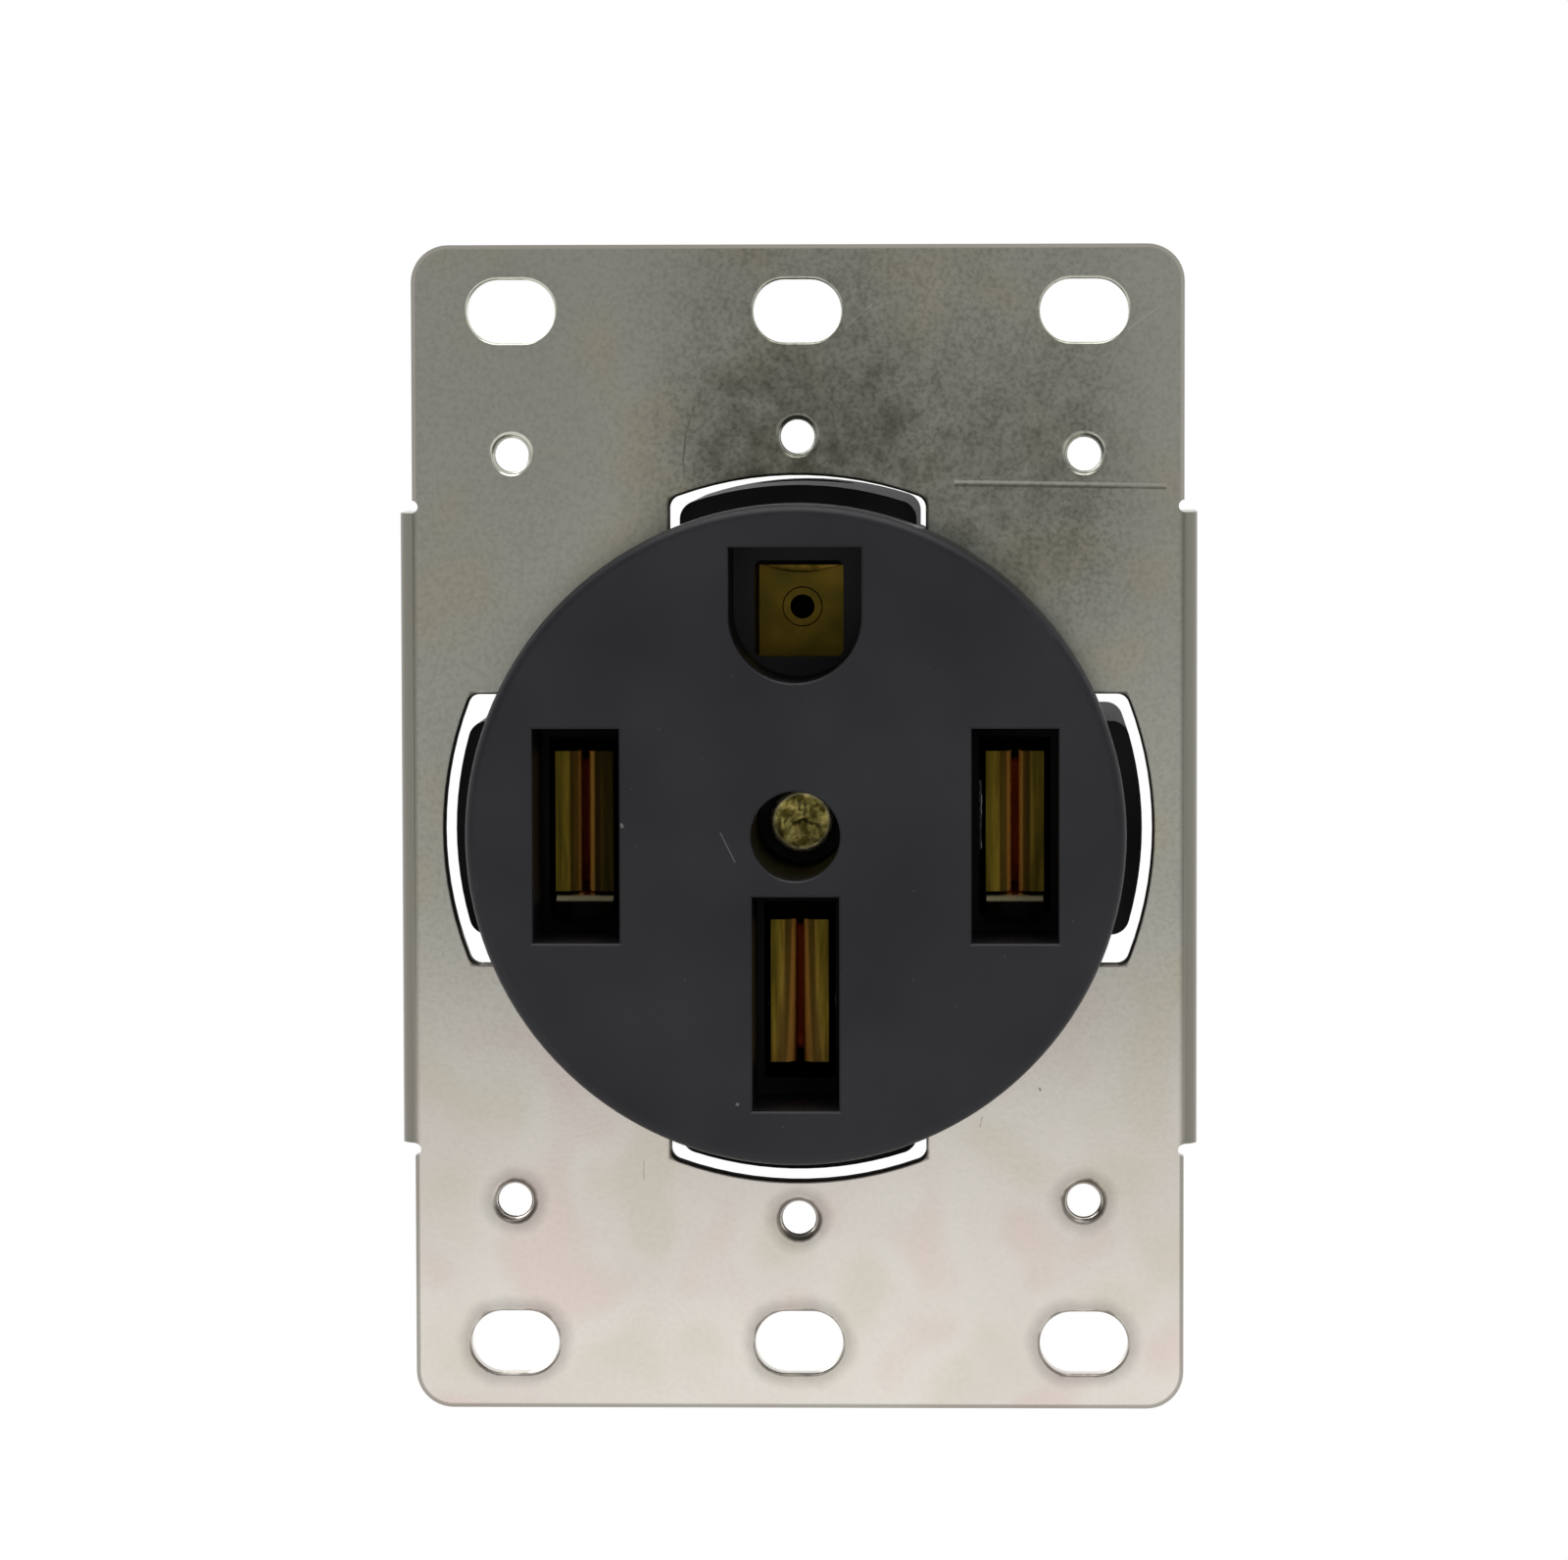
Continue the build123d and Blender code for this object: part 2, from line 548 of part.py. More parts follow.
# Ground contact: a folded channel round the pin, whose plate runs on as the tail
with BuildPart() as ground_contact:
    with BuildSketch(level(0, GROUND_FOOT)):
        with BuildLine():
            FilletPolyline(
                (-GROUND_MOUTH_LINE, GROUND_LEAF_FRONT),
                (-GROUND_PINCH_LINE, GROUND_PINCH),
                (-GROUND_LEAF_LINE, GROUND_CHANNEL_START),
                (-GROUND_LEAF_LINE, GROUND_PLATE),
                (GROUND_LEAF_LINE, GROUND_PLATE),
                (GROUND_LEAF_LINE, GROUND_CHANNEL_START),
                (GROUND_PINCH_LINE, GROUND_PINCH),
                (GROUND_MOUTH_LINE, GROUND_LEAF_FRONT),
                radius=GROUND_BEND,
            )
        trace(line_width=CONTACT_SHEET)
    extrude(amount=GROUND_HEAD - GROUND_FOOT)
    with BuildSketch(across(GROUND_PLATE - CONTACT_SHEET)):
        with Locations((0, PIN_OFFSET)):
            Circle(RIVET_SHANK / 2)
        half_plate = GROUND_LEAF_LINE - CONTACT_SHEET
        hollow = (half_plate**2 + GROUND_PLATE_HOLLOW**2) / (2 * GROUND_PLATE_HOLLOW)
        with Locations((0, GROUND_HEAD + hollow - GROUND_PLATE_HOLLOW)):
            Circle(hollow)
    extrude(amount=-2 * CONTACT_SHEET, mode=Mode.SUBTRACT)
    with BuildSketch(Plane.YZ.offset(-TAIL_WIDTH / 2)):
        with BuildLine():
            FilletPolyline(
                (GROUND_PLATE, GROUND_FOOT + 2 * BEND_RADIUS),
                (GROUND_PLATE, GROUND_FOOT + HALF_SHEET),
                (TAIL_END, GROUND_FOOT + HALF_SHEET),
                radius=BEND_RADIUS,
            )
        trace(line_width=CONTACT_SHEET)
    extrude(amount=TAIL_WIDTH)
save(ground_contact.part, "ground_contact")

# Bonding strip: riveted behind the ground contact, its arm reaches forward to the strap
with BuildPart() as bonding_strip:
    with BuildSketch(across(BOND_FRONT)):
        cross_length = BOND_LINE - BEND_RADIUS + BOND_OVERLAP
        with Locations((BOND_OVERLAP - cross_length / 2, GROUND_HEAD - BOND_WIDTH / 2)):
            Rectangle(cross_length, BOND_WIDTH)
        with Locations((0, PIN_OFFSET)):
            Circle(RIVET_SHANK / 2, mode=Mode.SUBTRACT)
    extrude(amount=-BOND_SHEET)
    with BuildSketch(level(0, GROUND_HEAD - BOND_ARM_WIDTH)):
        with BuildLine():
            FilletPolyline(
                (-BOND_LINE / 2, BOND_FRONT + BOND_SHEET / 2),
                (-BOND_LINE, BOND_FRONT + BOND_SHEET / 2),
                (-BOND_LINE, BOND_CLEARANCE),
                radius=BEND_RADIUS,
            )
        trace(line_width=BOND_SHEET)
    extrude(amount=BOND_ARM_WIDTH)
save(bonding_strip.part, "bonding_strip")

# Tubular rivet, rolled over on the front of the ground contact
with BuildPart() as ground_rivet:
    rivet_front = GROUND_PLATE - HALF_SHEET
    with BuildSketch(across(rivet_front)):
        with Locations((0, PIN_OFFSET)):
            Circle(RIVET_COLLAR / 2)
    extrude(amount=RIVET_COLLAR_HEIGHT)
    fillet(ground_rivet.edges().group_by(Axis.Y)[0], RIVET_COLLAR_HEIGHT / 2)
    with BuildSketch(across(rivet_front)):
        with Locations((0, PIN_OFFSET)):
            Circle(RIVET_SHANK / 2)
    extrude(amount=-(BOND_END - rivet_front))
    with BuildSketch(across(BOND_END)):
        with Locations((0, PIN_OFFSET)):
            Circle(RIVET_HEAD / 2)
    extrude(amount=-RIVET_HEAD_HEIGHT)
    fillet(ground_rivet.edges().group_by(Axis.Y)[-1], RIVET_HEAD_HEIGHT / 2)
    with BuildSketch(across(rivet_front - RIVET_COLLAR_HEIGHT)):
        with Locations((0, PIN_OFFSET)):
            Circle(RIVET_BORE / 2)
    extrude(amount=-CHAMBER_DEPTH, mode=Mode.SUBTRACT)
save(ground_rivet.part, "ground_rivet")

# Lugs: a window for the tail and the wire under a thick tapped wall, each with its set screw
for name, tail in TERMINAL_TAIL.items():
    angle = TERMINAL_ANGLE[name]
    foot = lug_foot(tail)
    window_top = foot + LUG_INNER_WALL + LUG_WINDOW
    with BuildPart() as lug:
        with BuildSketch(behind(LUG_START, angle)) as block:
            with Locations((foot + LUG_HEIGHT / 2, 0)):
                RectangleRounded(LUG_HEIGHT, LUG_WIDTH, LUG_EDGE)
            with Locations((window_top - LUG_WINDOW / 2, 0)):
                RectangleRounded(
                    LUG_WINDOW, LUG_WINDOW_WIDTH, LUG_WINDOW_CORNER, mode=Mode.SUBTRACT
                )
        extrude(amount=LUG_LENGTH)
        with BuildSketch(beside(angle, window_top - LUG_WINDOW / 2, LUG_MIDDLE)):
            Circle(SET_SCREW / 2 + THREAD_CLEARANCE)
        extrude(amount=LUG_HEIGHT, mode=Mode.SUBTRACT)
    save(lug.part, f"{name}_lug")
    with BuildPart() as set_screw:
        with BuildSketch(beside(angle, window_top + METAL_CLEARANCE, LUG_MIDDLE)) as shank:
            Circle(SET_SCREW / 2)
        extrude(amount=SET_SCREW_LENGTH)
        tip, end = set_screw.edges().filter_by(GeomType.CIRCLE).sort_by(
            lambda e: Vector(e.center()).length
        )
        chamfer(tip, SET_SCREW_TIP)
        chamfer(end, SET_SCREW_TIP / 2)
        with BuildSketch(
            beside(angle, window_top + METAL_CLEARANCE + SET_SCREW_LENGTH, LUG_MIDDLE)
        ):
            Rectangle(2 * SET_SCREW, SET_SCREW_SLOT)
        extrude(amount=-SET_SCREW_SLOT_DEPTH, mode=Mode.SUBTRACT)
    save(set_screw.part, f"{name}_set_screw")

# Insert moulded into the boss of the face
with BuildPart() as thread_insert:
    with BuildSketch(across(INSERT_START)):
        Circle(INSERT_DIAMETER / 2)
        Circle(SCREW_DIAMETER / 2 + THREAD_CLEARANCE, mode=Mode.SUBTRACT)
    extrude(amount=-INSERT_LENGTH)
    with BuildSketch(across(INSERT_START + (INSERT_LENGTH - INSERT_GROOVE_WIDTH) / 2)):
        Circle(INSERT_DIAMETER)
        Circle(INSERT_DIAMETER / 2 - INSERT_GROOVE, mode=Mode.SUBTRACT)
    extrude(amount=-INSERT_GROOVE_WIDTH, mode=Mode.SUBTRACT)
save(thread_insert.part, "thread_insert")

# Screw from the rear, with its tip in the centre hole of the face
with BuildPart() as assembly_screw:
    with BuildSketch(across(SCREW_TIP)):
        Circle(SCREW_DIAMETER / 2)
    extrude(amount=-(HEAD_SEAT - SCREW_TIP))
    fillet(assembly_screw.edges().sort_by(Axis.Y)[0], SCREW_ROUND)
    with BuildSketch(across(HEAD_SEAT)):
        Circle(SCREW_HEAD / 2)
    extrude(amount=-SCREW_HEAD_HEIGHT)
    fillet(assembly_screw.edges().sort_by(Axis.Y)[-1], SCREW_HEAD_HEIGHT / 2)
    with BuildSketch(across(HEAD_SEAT + SCREW_HEAD_HEIGHT)):
        Rectangle(2 * SCREW_HEAD, SCREW_SLOT)
    extrude(amount=SCREW_HEAD_HEIGHT / 2, mode=Mode.SUBTRACT)
save(assembly_screw.part, "assembly_screw")

# Washer under the head
with BuildPart() as screw_washer:
    with BuildSketch(across(WASHER_SEAT)):
        Circle(WASHER_DIAMETER / 2)
        Circle(SCREW_PASSAGE, mode=Mode.SUBTRACT)
    extrude(amount=-WASHER_SHEET)
save(screw_washer.part, "screw_washer")
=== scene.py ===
"""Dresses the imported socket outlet: finishes, turned screws with threads, studio and camera."""

from math import atan2, cos, hypot, pi, radians, sin

import bmesh
import bpy
from bpy.props import FloatProperty, FloatVectorProperty, IntProperty, PointerProperty
from mathutils import Matrix, Vector, noise


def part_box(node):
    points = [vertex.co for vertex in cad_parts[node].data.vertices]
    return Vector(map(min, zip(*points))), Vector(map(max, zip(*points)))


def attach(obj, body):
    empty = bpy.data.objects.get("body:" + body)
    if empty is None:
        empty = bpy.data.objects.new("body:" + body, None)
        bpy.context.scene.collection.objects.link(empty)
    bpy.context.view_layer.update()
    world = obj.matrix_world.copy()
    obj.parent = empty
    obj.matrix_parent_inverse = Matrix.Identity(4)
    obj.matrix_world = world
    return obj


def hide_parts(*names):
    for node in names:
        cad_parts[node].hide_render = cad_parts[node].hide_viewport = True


bl_info = {
    "name": "Socket Outlet Dressing",
    "version": (1, 0, 0),
    "blender": (4, 5, 0),
    "location": "View3D > Sidebar > Socket",
    "description": "Finishes, screws and studio for a flush socket outlet on a steel strap",
    "category": "Object",
}

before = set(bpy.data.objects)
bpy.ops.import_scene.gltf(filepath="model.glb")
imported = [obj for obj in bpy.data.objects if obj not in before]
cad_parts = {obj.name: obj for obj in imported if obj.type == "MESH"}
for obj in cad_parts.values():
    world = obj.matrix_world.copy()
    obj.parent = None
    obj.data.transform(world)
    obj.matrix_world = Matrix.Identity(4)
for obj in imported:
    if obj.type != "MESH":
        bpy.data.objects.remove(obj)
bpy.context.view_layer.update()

MM = 0.001

# All the sizes up to the marks are in millimetres.
# The strap's hole pitches, as halves from its centre, its holes and its opening
GANG = 23.02
BOX_RISE = 41.67
BOX_SLOT_ROUND = 2.525
BOX_SLOT_STRAIGHT = 1.025
PLATE_RISE = 30.165
MID_RISE = 31.6
PLATE_ROUND = 1.45
LOBE_RADIUS = 28.5
END_LOBE = 10.3
SIDE_LOBE = 10.9

# The strap's outline in front, and half the length of its flanges
STRAP_HALF = 47.0
TAB_HALF = 31.05
TAB_CORNER = 3.0
FLANGE_HALF = 25.5

# Where the flat front of the face ends, and where its rounded rim does, as radii
FACE_FLAT = 25.3
FACE_ROUND = 26.1

# The ridge in each small hole: its start, from the strap's rear, and its turns
RIDGE_START = -0.1
RIDGE_TURNS = 1.1

# Turned screws: rows in each turn of thread, faces round, and the degrees past which an
# edge is kept crisp
SET_SCREW_ROWS = 12
LONG_SCREW_ROWS = 10
LONG_SCREW_SEGMENTS = 48
TURNED_SEGMENTS = 64
SHARP_ANGLE = 38

# The scratches on the strap, and last the painted shadow in the gauge line's groove: both ends (X, Z) and
# the width
DARK_MARKS = (
    ((-8.31, 33.78), (-8.95, 32.05), 0.06),
    ((-8.95, 32.05), (-9.19, 29.69), 0.10),
    ((-9.19, 29.69), (-9.10, 28.27), 0.04),
    ((-12.55, -26.93), (-12.56, -28.40), 0.0),
    ((23.97, -44.41), (25.32, -44.01), 0.06),
    ((14.79, -23.31), (14.63, -24.10), 0.04),
    ((19.45, -21.00), (19.50, -21.12), 0.18),
    ((12.69, 27.68), (29.50, 27.41), 0.16),
)
# Bright scratches, and last the painted highlight on the gauge line's lip: both ends (X, Z) and the width
LIGHT_MARKS = (
    ((3.82, 40.27), (6.02, 42.22), 0.02),
    ((26.59, 40.21), (28.78, 41.78), 0.06),
    ((24.52, -36.59), (27.68, -36.34), 0.06),
    ((12.69, 27.98), (29.50, 27.71), 0.20),
)
# Pale nicks and a faint scratch on the black face
FACE_MARKS = (
    ((-13.80, 0.92), (-13.74, 0.80), 0.20),
    ((20.72, 6.67), (20.66, 6.50), 0.16),
    ((-4.67, -21.36), (-4.60, -21.36), 0.16),
    ((-5.94, 0.29), (-4.78, -2.05), 0.0),
)

# Node kinds that the finishes use most, and the soft step
MATH = "ShaderNodeMath"
RANGE = "ShaderNodeMapRange"
NOISE = "ShaderNodeTexNoise"
MIX = "ShaderNodeMix"
SPLIT = "ShaderNodeSeparateXYZ"
JOIN = "ShaderNodeCombineXYZ"
BUMP = "ShaderNodeBump"
SOFT = "SMOOTHSTEP"


def linear(hex_colour):
    """Turn an sRGB hex colour into linear values with full alpha."""
    channels = [int(hex_colour[i:i + 2], 16) / 255 for i in (1, 3, 5)]
    curve = [c / 12.92 if c <= 0.04045 else ((c + 0.055) / 1.055) ** 2.4 for c in channels]
    return (*curve, 1.0)


def per_mm(size):
    """Texture scale at which one cell of a pattern is about this many millimetres."""
    return 1000 / size


def colour(name, description, hex_colour):
    """Colour property with an sRGB hex default."""
    return FloatVectorProperty(
        name=name, description=description, subtype="COLOR", size=4, min=0, max=1,
        default=linear(hex_colour),
    )


def length(name, description, millimetres):
    """Length property with a default given in millimetres."""
    return FloatProperty(
        name=name, description=description, subtype="DISTANCE", unit="LENGTH",
        default=millimetres * MM, min=0,
    )


class StrapSettings(bpy.types.PropertyGroup):
    """Colours of the zinc plate, and the thread of its small holes"""

    zinc: colour("Zinc", "Clean zinc plate", "#ECE6DD")
    grey_zinc: colour("Grey zinc", "Greener grey of the plate above the face", "#D2D2C6")
    dull_zinc: colour("Dull zinc", "Duller clouds in the plate", "#E9E2D9")
    straw: colour("Straw", "Straw tint rolled into the plate", "#D8CFAC")
    rose: colour("Rose", "Faint rose tint of the lower plate", "#E8D2CB")
    # Grain, also used for the painted shade on the lower edges and in the patch above the face
    grain: colour("Grain", "Dark grain of the dulled plate", "#5C5C50")
    # Bright scratches, and the painted highlight on the upper edges
    scratch_and_highlight: colour("Polish", "Rubbed edges and bright scratches", "#ECE7DA")
    # Painted shade on the two bends
    bend: colour("Bend", "Dulled plate on the two bends", "#77756B")
    # Rust and oil with painted shade round the rims, stronger below
    stain_and_shade: colour("Stain", "Rust and oil round the holes", "#3A2F24")
    thread_pitch: length("Thread pitch", "Pitch of the tapped plate holes", 0.79)
    thread_height: length("Thread height", "How far the ridge stands into the hole", 0.09)


class MouldingSettings(bpy.types.PropertyGroup):
    """Blacks of the mouldings"""

    face: colour("Face", "Satin black of the face", "#1A1A20")
    body: colour("Body", "Matt black of the housing", "#0F0F12")
    # Also the painted shade on the face's rounded rim
    recess: colour("Recess", "Unlit black down in the openings", "#121217")
    nick: colour("Nick", "Pale nicks in the black", "#77777A")
    texture: length("Texture", "Size of the moulded grain", 0.35)


class MetalSettings(bpy.types.PropertyGroup):
    """Colours of the contacts, lugs and screws"""

    brass: colour("Brass", "Rolled brass of the bonding strip and the contact tails", "#C79C42")
    # Tarnish drift of the brass, and on the leaf fronts a painted dark reflection
    olive: colour("Olive", "Dulled brass on the fronts of the leaves", "#746320")
    # Painted highlight: the orange lines beside the blade gap
    highlight_orange: colour("Copper", "Rubbed orange lines beside the blade gap", "#FFBE5C")
    # Painted shade: the dark red down in the blade gap
    gap_shade_red: colour("Ember", "Dark red down in the blade gap", "#8C3414")
    # Tarnish in the grain, and painted shade round the leaves
    tarnish_and_shade: colour("Soot", "Brown-black above and below the leaves", "#0B0805")
    # Painted highlight on the tongue's edge and on the peened rim
    highlight_cream: colour("Cream", "Bright edge of the tongue and of the peened rim", "#FFF2C0")
    plate: colour("Plate", "Brown brass of the ground plate", "#8A722A")
    gilt: colour("Gilt", "Yellow plate of the screws", "#DCCB76")
    bruise: colour("Bruise", "Olive hollows of the peened end", "#857630")
    aluminium: colour("Aluminium", "Plated lugs", "#C9CACC")
    nickel: colour("Nickel", "Nickel plate of the neutral screw", "#C7C2B8")
    green: colour("Green", "Dyed plate of the ground screw", "#2C7A43")
    zinc: colour("Zinc", "Zinc plate of the washer", "#C2C3C2")


class ScrewSettings(bpy.types.PropertyGroup):
    """Sizes of the turned screws"""

    radius: length("Radius", "Outer radius of a set screw", 3.5)
    shank: length("Length", "Length of a set screw", 5.8)
    pitch: length("Pitch", "Thread pitch of a set screw", 1.0)
    depth: length("Thread depth", "Depth of the thread", 0.42)
    slot_width: length("Slot width", "Width of the driver slot", 1.2)
    slot_depth: length("Slot depth", "Depth of the driver slot", 1.6)
    segments: IntProperty(name="Segments", description="Faces round a shank", default=72, min=12)
    long_radius: length("Long screw radius", "Outer radius of the assembly screw", 2.415)
    peened_radius: length("Peened radius", "Radius of the hammered end, spread a little", 2.58)
    long_pitch: length("Long screw pitch", "Thread pitch of the assembly screw", 1.058)
    peened: length("Peened end", "Length of the hammered end", 0.9)
    dent: length("Dent", "Depth of the hammer marks", 0.11)
    head_radius: length("Head radius", "Outer radius of the long screw's head", 4.5)
    head_height: length("Head height", "Height of the long screw's head", 3.2)


class StudioSettings(bpy.types.PropertyGroup):
    """Floor, screen and camera"""

    floor: colour("Floor", "Plain pale floor", "#F4F4F2")
    floor_drop: length("Floor drop", "Height of the origin above the floor", 100.0)
    floor_front: length("Floor front", "How far the floor runs in front", 700.0)
    shadow_reach: length("Shadow reach", "Where the floor's shadow has faded to white", 240.0)
    screen_top: colour("Screen top", "Grey of the screen that the metal mirrors", "#989898")
    screen_foot: colour("Screen foot", "The same screen where it meets the floor", "#A2A2A0")
    camera_distance: length("Distance", "Camera from the strap", 550.0)
    camera_side: length("Side", "Camera to the right of the centre", 16.1)
    camera_rise: length("Rise", "Camera above the centre", 38.3)
    lens: FloatProperty(
        name="Lens", description="Focal length of the long lens in millimetres", default=156.7,
    )


class SocketSettings(bpy.types.PropertyGroup):
    """All the groups of settings"""

    strap: PointerProperty(type=StrapSettings)
    moulding: PointerProperty(type=MouldingSettings)
    metal: PointerProperty(type=MetalSettings)
    screw: PointerProperty(type=ScrewSettings)
    studio: PointerProperty(type=StudioSettings)


def add(tree, kind, inputs=(), **settings):
    """Add a node with its settings, fill or link its inputs, and return its live output."""
    node = tree.nodes.new(kind)
    for key, value in settings.items():
        setattr(node, key, value)
    for key, value in inputs.items() if isinstance(inputs, dict) else enumerate(inputs):
        if isinstance(value, bpy.types.NodeSocket):
            tree.links.new(value, node.inputs[key])
        else:
            node.inputs[key].default_value = value
    return next((socket for socket in node.outputs if socket.enabled), node)


def new_finish(name, metallic=0.0):
    """New material with its shader and the Object coordinates that its patterns follow."""
    material = bpy.data.materials.new(name)
    material.use_nodes = True
    tree = material.node_tree
    tree.nodes.clear()
    shader = tree.nodes.new("ShaderNodeBsdfPrincipled")
    shader.inputs["Metallic"].default_value = metallic
    add(tree, "ShaderNodeOutputMaterial", {"Surface": shader.outputs[0]})
    place = tree.nodes.new("ShaderNodeTexCoord").outputs["Object"]
    return material, tree, shader, place


def close_finish(tree, shader, tone, shine, height, strength, depth):
    """Link a finish's colour and roughness, and bump it by a height over a depth in metres."""
    tree.links.new(tone, shader.inputs["Base Color"])
    tree.links.new(shine, shader.inputs["Roughness"])
    bump = add(tree, BUMP, {"Strength": strength, "Distance": depth, "Height": height})
    tree.links.new(bump, shader.inputs["Normal"])


def tinted(tree, base, tint, value, span, weight=None, smooth=True):
    """Tint a base colour by a value, whose span is from, to, and the share of tint at each.

    A weight, where there is one, makes the share smaller.
    """
    part = add(tree, RANGE, (value, *span), interpolation_type=SOFT if smooth else "LINEAR")
    if weight is not None:
        part = add(tree, MATH, (part, weight), operation="MULTIPLY")
    return add(tree, MIX, {0: part, 6: base, 7: tint}, data_type="RGBA")


def grain_lines(tree, place, stretch, size):
    """Fine lines some millimetres apart, drawn out along the axis with the small stretch."""
    along = add(tree, "ShaderNodeMapping", {"Vector": place, "Scale": stretch})
    return add(tree, NOISE, {"Vector": along, "Scale": per_mm(size), "Detail": 2.0})


def away_from(tree, value, centre):
    """How far a value lies from a centre, on either side."""
    offset = add(tree, MATH, (value, centre), operation="SUBTRACT")
    return add(tree, MATH, (offset,), operation="ABSOLUTE")


def from_axis(tree, across, up):
    """Distance from a middle, given the two offsets from it."""
    flat = add(tree, JOIN, (across, up))
    return add(tree, "ShaderNodeVectorMath", (flat,), operation="LENGTH")


def capsule(tree, along, up, half_length):
    """Distance in metres from a level line of a half length, given two offsets from its middle."""
    beyond = add(tree, MATH, (along, half_length), operation="SUBTRACT")
    beyond = add(tree, MATH, (beyond, 0.0), operation="MAXIMUM")
    return from_axis(tree, beyond, up)


def nearest_mark(tree, place, marks):
    """Distance in metres outside the nearest of some straight marks on a sheet that faces Y."""
    nearest = None
    for (x0, z0), (x1, z1), width in marks:
        local = add(
            tree, "ShaderNodeMapping",
            {
                "Vector": place,
                "Location": ((x0 + x1) / 2 * MM, 0, (z0 + z1) / 2 * MM),
                "Rotation": (0, -atan2(z1 - z0, x1 - x0), 0),
            },
            vector_type="TEXTURE",
        )
        x = add(tree, SPLIT, (local,))
        along = add(tree, MATH, (x,), operation="ABSOLUTE")
        distance = capsule(tree, along, x.node.outputs["Z"], hypot(x1 - x0, z1 - z0) / 2 * MM)
        distance = add(tree, MATH, (distance, width / 2 * MM), operation="SUBTRACT")
        if nearest is None:
            nearest = distance
        else:
            nearest = add(tree, MATH, (nearest, distance), operation="MINIMUM")
    return nearest


def hole_rims(tree, side, rise):
    """Distances in metres outside the strap's slots and small holes, and outside its opening."""
    # Folding twice brings the three columns of slots onto one
    column = away_from(tree, side, GANG / 2 * MM)
    column = away_from(tree, column, GANG / 2 * MM)
    level = add(tree, MATH, (rise, BOX_RISE * MM), operation="SUBTRACT")
    slots = capsule(tree, column, level, BOX_SLOT_STRAIGHT * MM)
    slots = add(tree, MATH, (slots, BOX_SLOT_ROUND * MM), operation="SUBTRACT")
    corner = away_from(tree, side, GANG * MM)
    level = add(tree, MATH, (rise, PLATE_RISE * MM), operation="SUBTRACT")
    corner = from_axis(tree, corner, level)
    level = add(tree, MATH, (rise, MID_RISE * MM), operation="SUBTRACT")
    middle = from_axis(tree, side, level)
    holes = add(tree, MATH, (corner, middle), operation="MINIMUM")
    holes = add(tree, MATH, (holes, PLATE_ROUND * MM), operation="SUBTRACT")
    arc = add(tree, MATH, (from_axis(tree, side, rise), LOBE_RADIUS * MM), operation="SUBTRACT")
    ends = add(tree, MATH, (side, END_LOBE * MM), operation="SUBTRACT")
    sides = add(tree, MATH, (rise, SIDE_LOBE * MM), operation="SUBTRACT")
    lobes = add(tree, MATH, (ends, sides), operation="MINIMUM")
    lobes = add(tree, MATH, (lobes, arc), operation="MAXIMUM")
    return slots, holes, lobes


def grime_and_reflection_patch(tree, x, z, smudge):
    """How dark the patch above the face is, partly grime and partly painted reflection and shade from the
    black face, from its middle out to the right.
    """
    middle = away_from(tree, x, 1 * MM)
    middle = add(tree, RANGE, (middle, 4 * MM, 16.5 * MM, 1.0, 0.0), interpolation_type=SOFT)
    right = away_from(tree, x, 16 * MM)
    right = add(tree, RANGE, (right, 5 * MM, 14 * MM, 0.66, 0.0), interpolation_type=SOFT)
    grime_and_reflection = add(tree, MATH, (middle, right), operation="MAXIMUM")
    rise = add(tree, RANGE, (z, 10 * MM, 26 * MM, 0.0, 1.0), interpolation_type=SOFT)
    fall = add(tree, RANGE, (z, 30 * MM, 46 * MM, 1.0, 0.35), interpolation_type=SOFT)
    patchy = add(tree, RANGE, (smudge, 0.30, 0.70, 0.62, 1.20))
    for part in (rise, fall, patchy):
        grime_and_reflection = add(tree, MATH, (grime_and_reflection, part), operation="MULTIPLY")
    return grime_and_reflection


def rim_stain_and_shade(tree, place, z, side, rise, smudge):
    """How dark the rims are, partly rust and oil and partly painted shade: soft round the lower small
    holes, thin on slots and opening.
    """
    facing = add(tree, SPLIT, (place.node.outputs["Normal"],)).node.outputs["Y"]
    facing = add(tree, MATH, (facing,), operation="ABSOLUTE")
    flat = add(tree, RANGE, (facing, 0.30, 0.90, 0.25, 1.0))
    slots, holes, lobes = hole_rims(tree, side, rise)
    uneven = add(tree, RANGE, (smudge, 0.30, 0.70, -0.12 * MM, 0.22 * MM))
    # Painted shade: the rims darken towards the bottom
    low = add(tree, RANGE, (z, -12 * MM, 12 * MM, 1.0, 0.12), interpolation_type=SOFT)
    low = add(tree, MATH, (low, flat), operation="MULTIPLY")
    rim = add(tree, MATH, (slots, 0.22 * MM), operation="ADD")
    rim = add(tree, MATH, (rim, holes), operation="MINIMUM")
    rim = add(tree, MATH, (rim, uneven), operation="SUBTRACT")
    stain_and_shade = add(tree, RANGE, (rim, 0.05 * MM, 0.60 * MM, 0.90, 0.0), interpolation_type=SOFT)
    halo = add(tree, RANGE, (rim, 0.2 * MM, 1.7 * MM, 0.26, 0.0), interpolation_type=SOFT)
    stain_and_shade = add(tree, MATH, (stain_and_shade, halo), operation="MAXIMUM")
    stain_and_shade = add(tree, MATH, (stain_and_shade, low), operation="MULTIPLY")
    # A thin dark line along the cut edge of the opening
    lip = add(tree, RANGE, (lobes, 0.05 * MM, 0.35 * MM, 0.75, 0.0), interpolation_type=SOFT)
    return add(tree, MATH, (stain_and_shade, lip), operation="MAXIMUM")


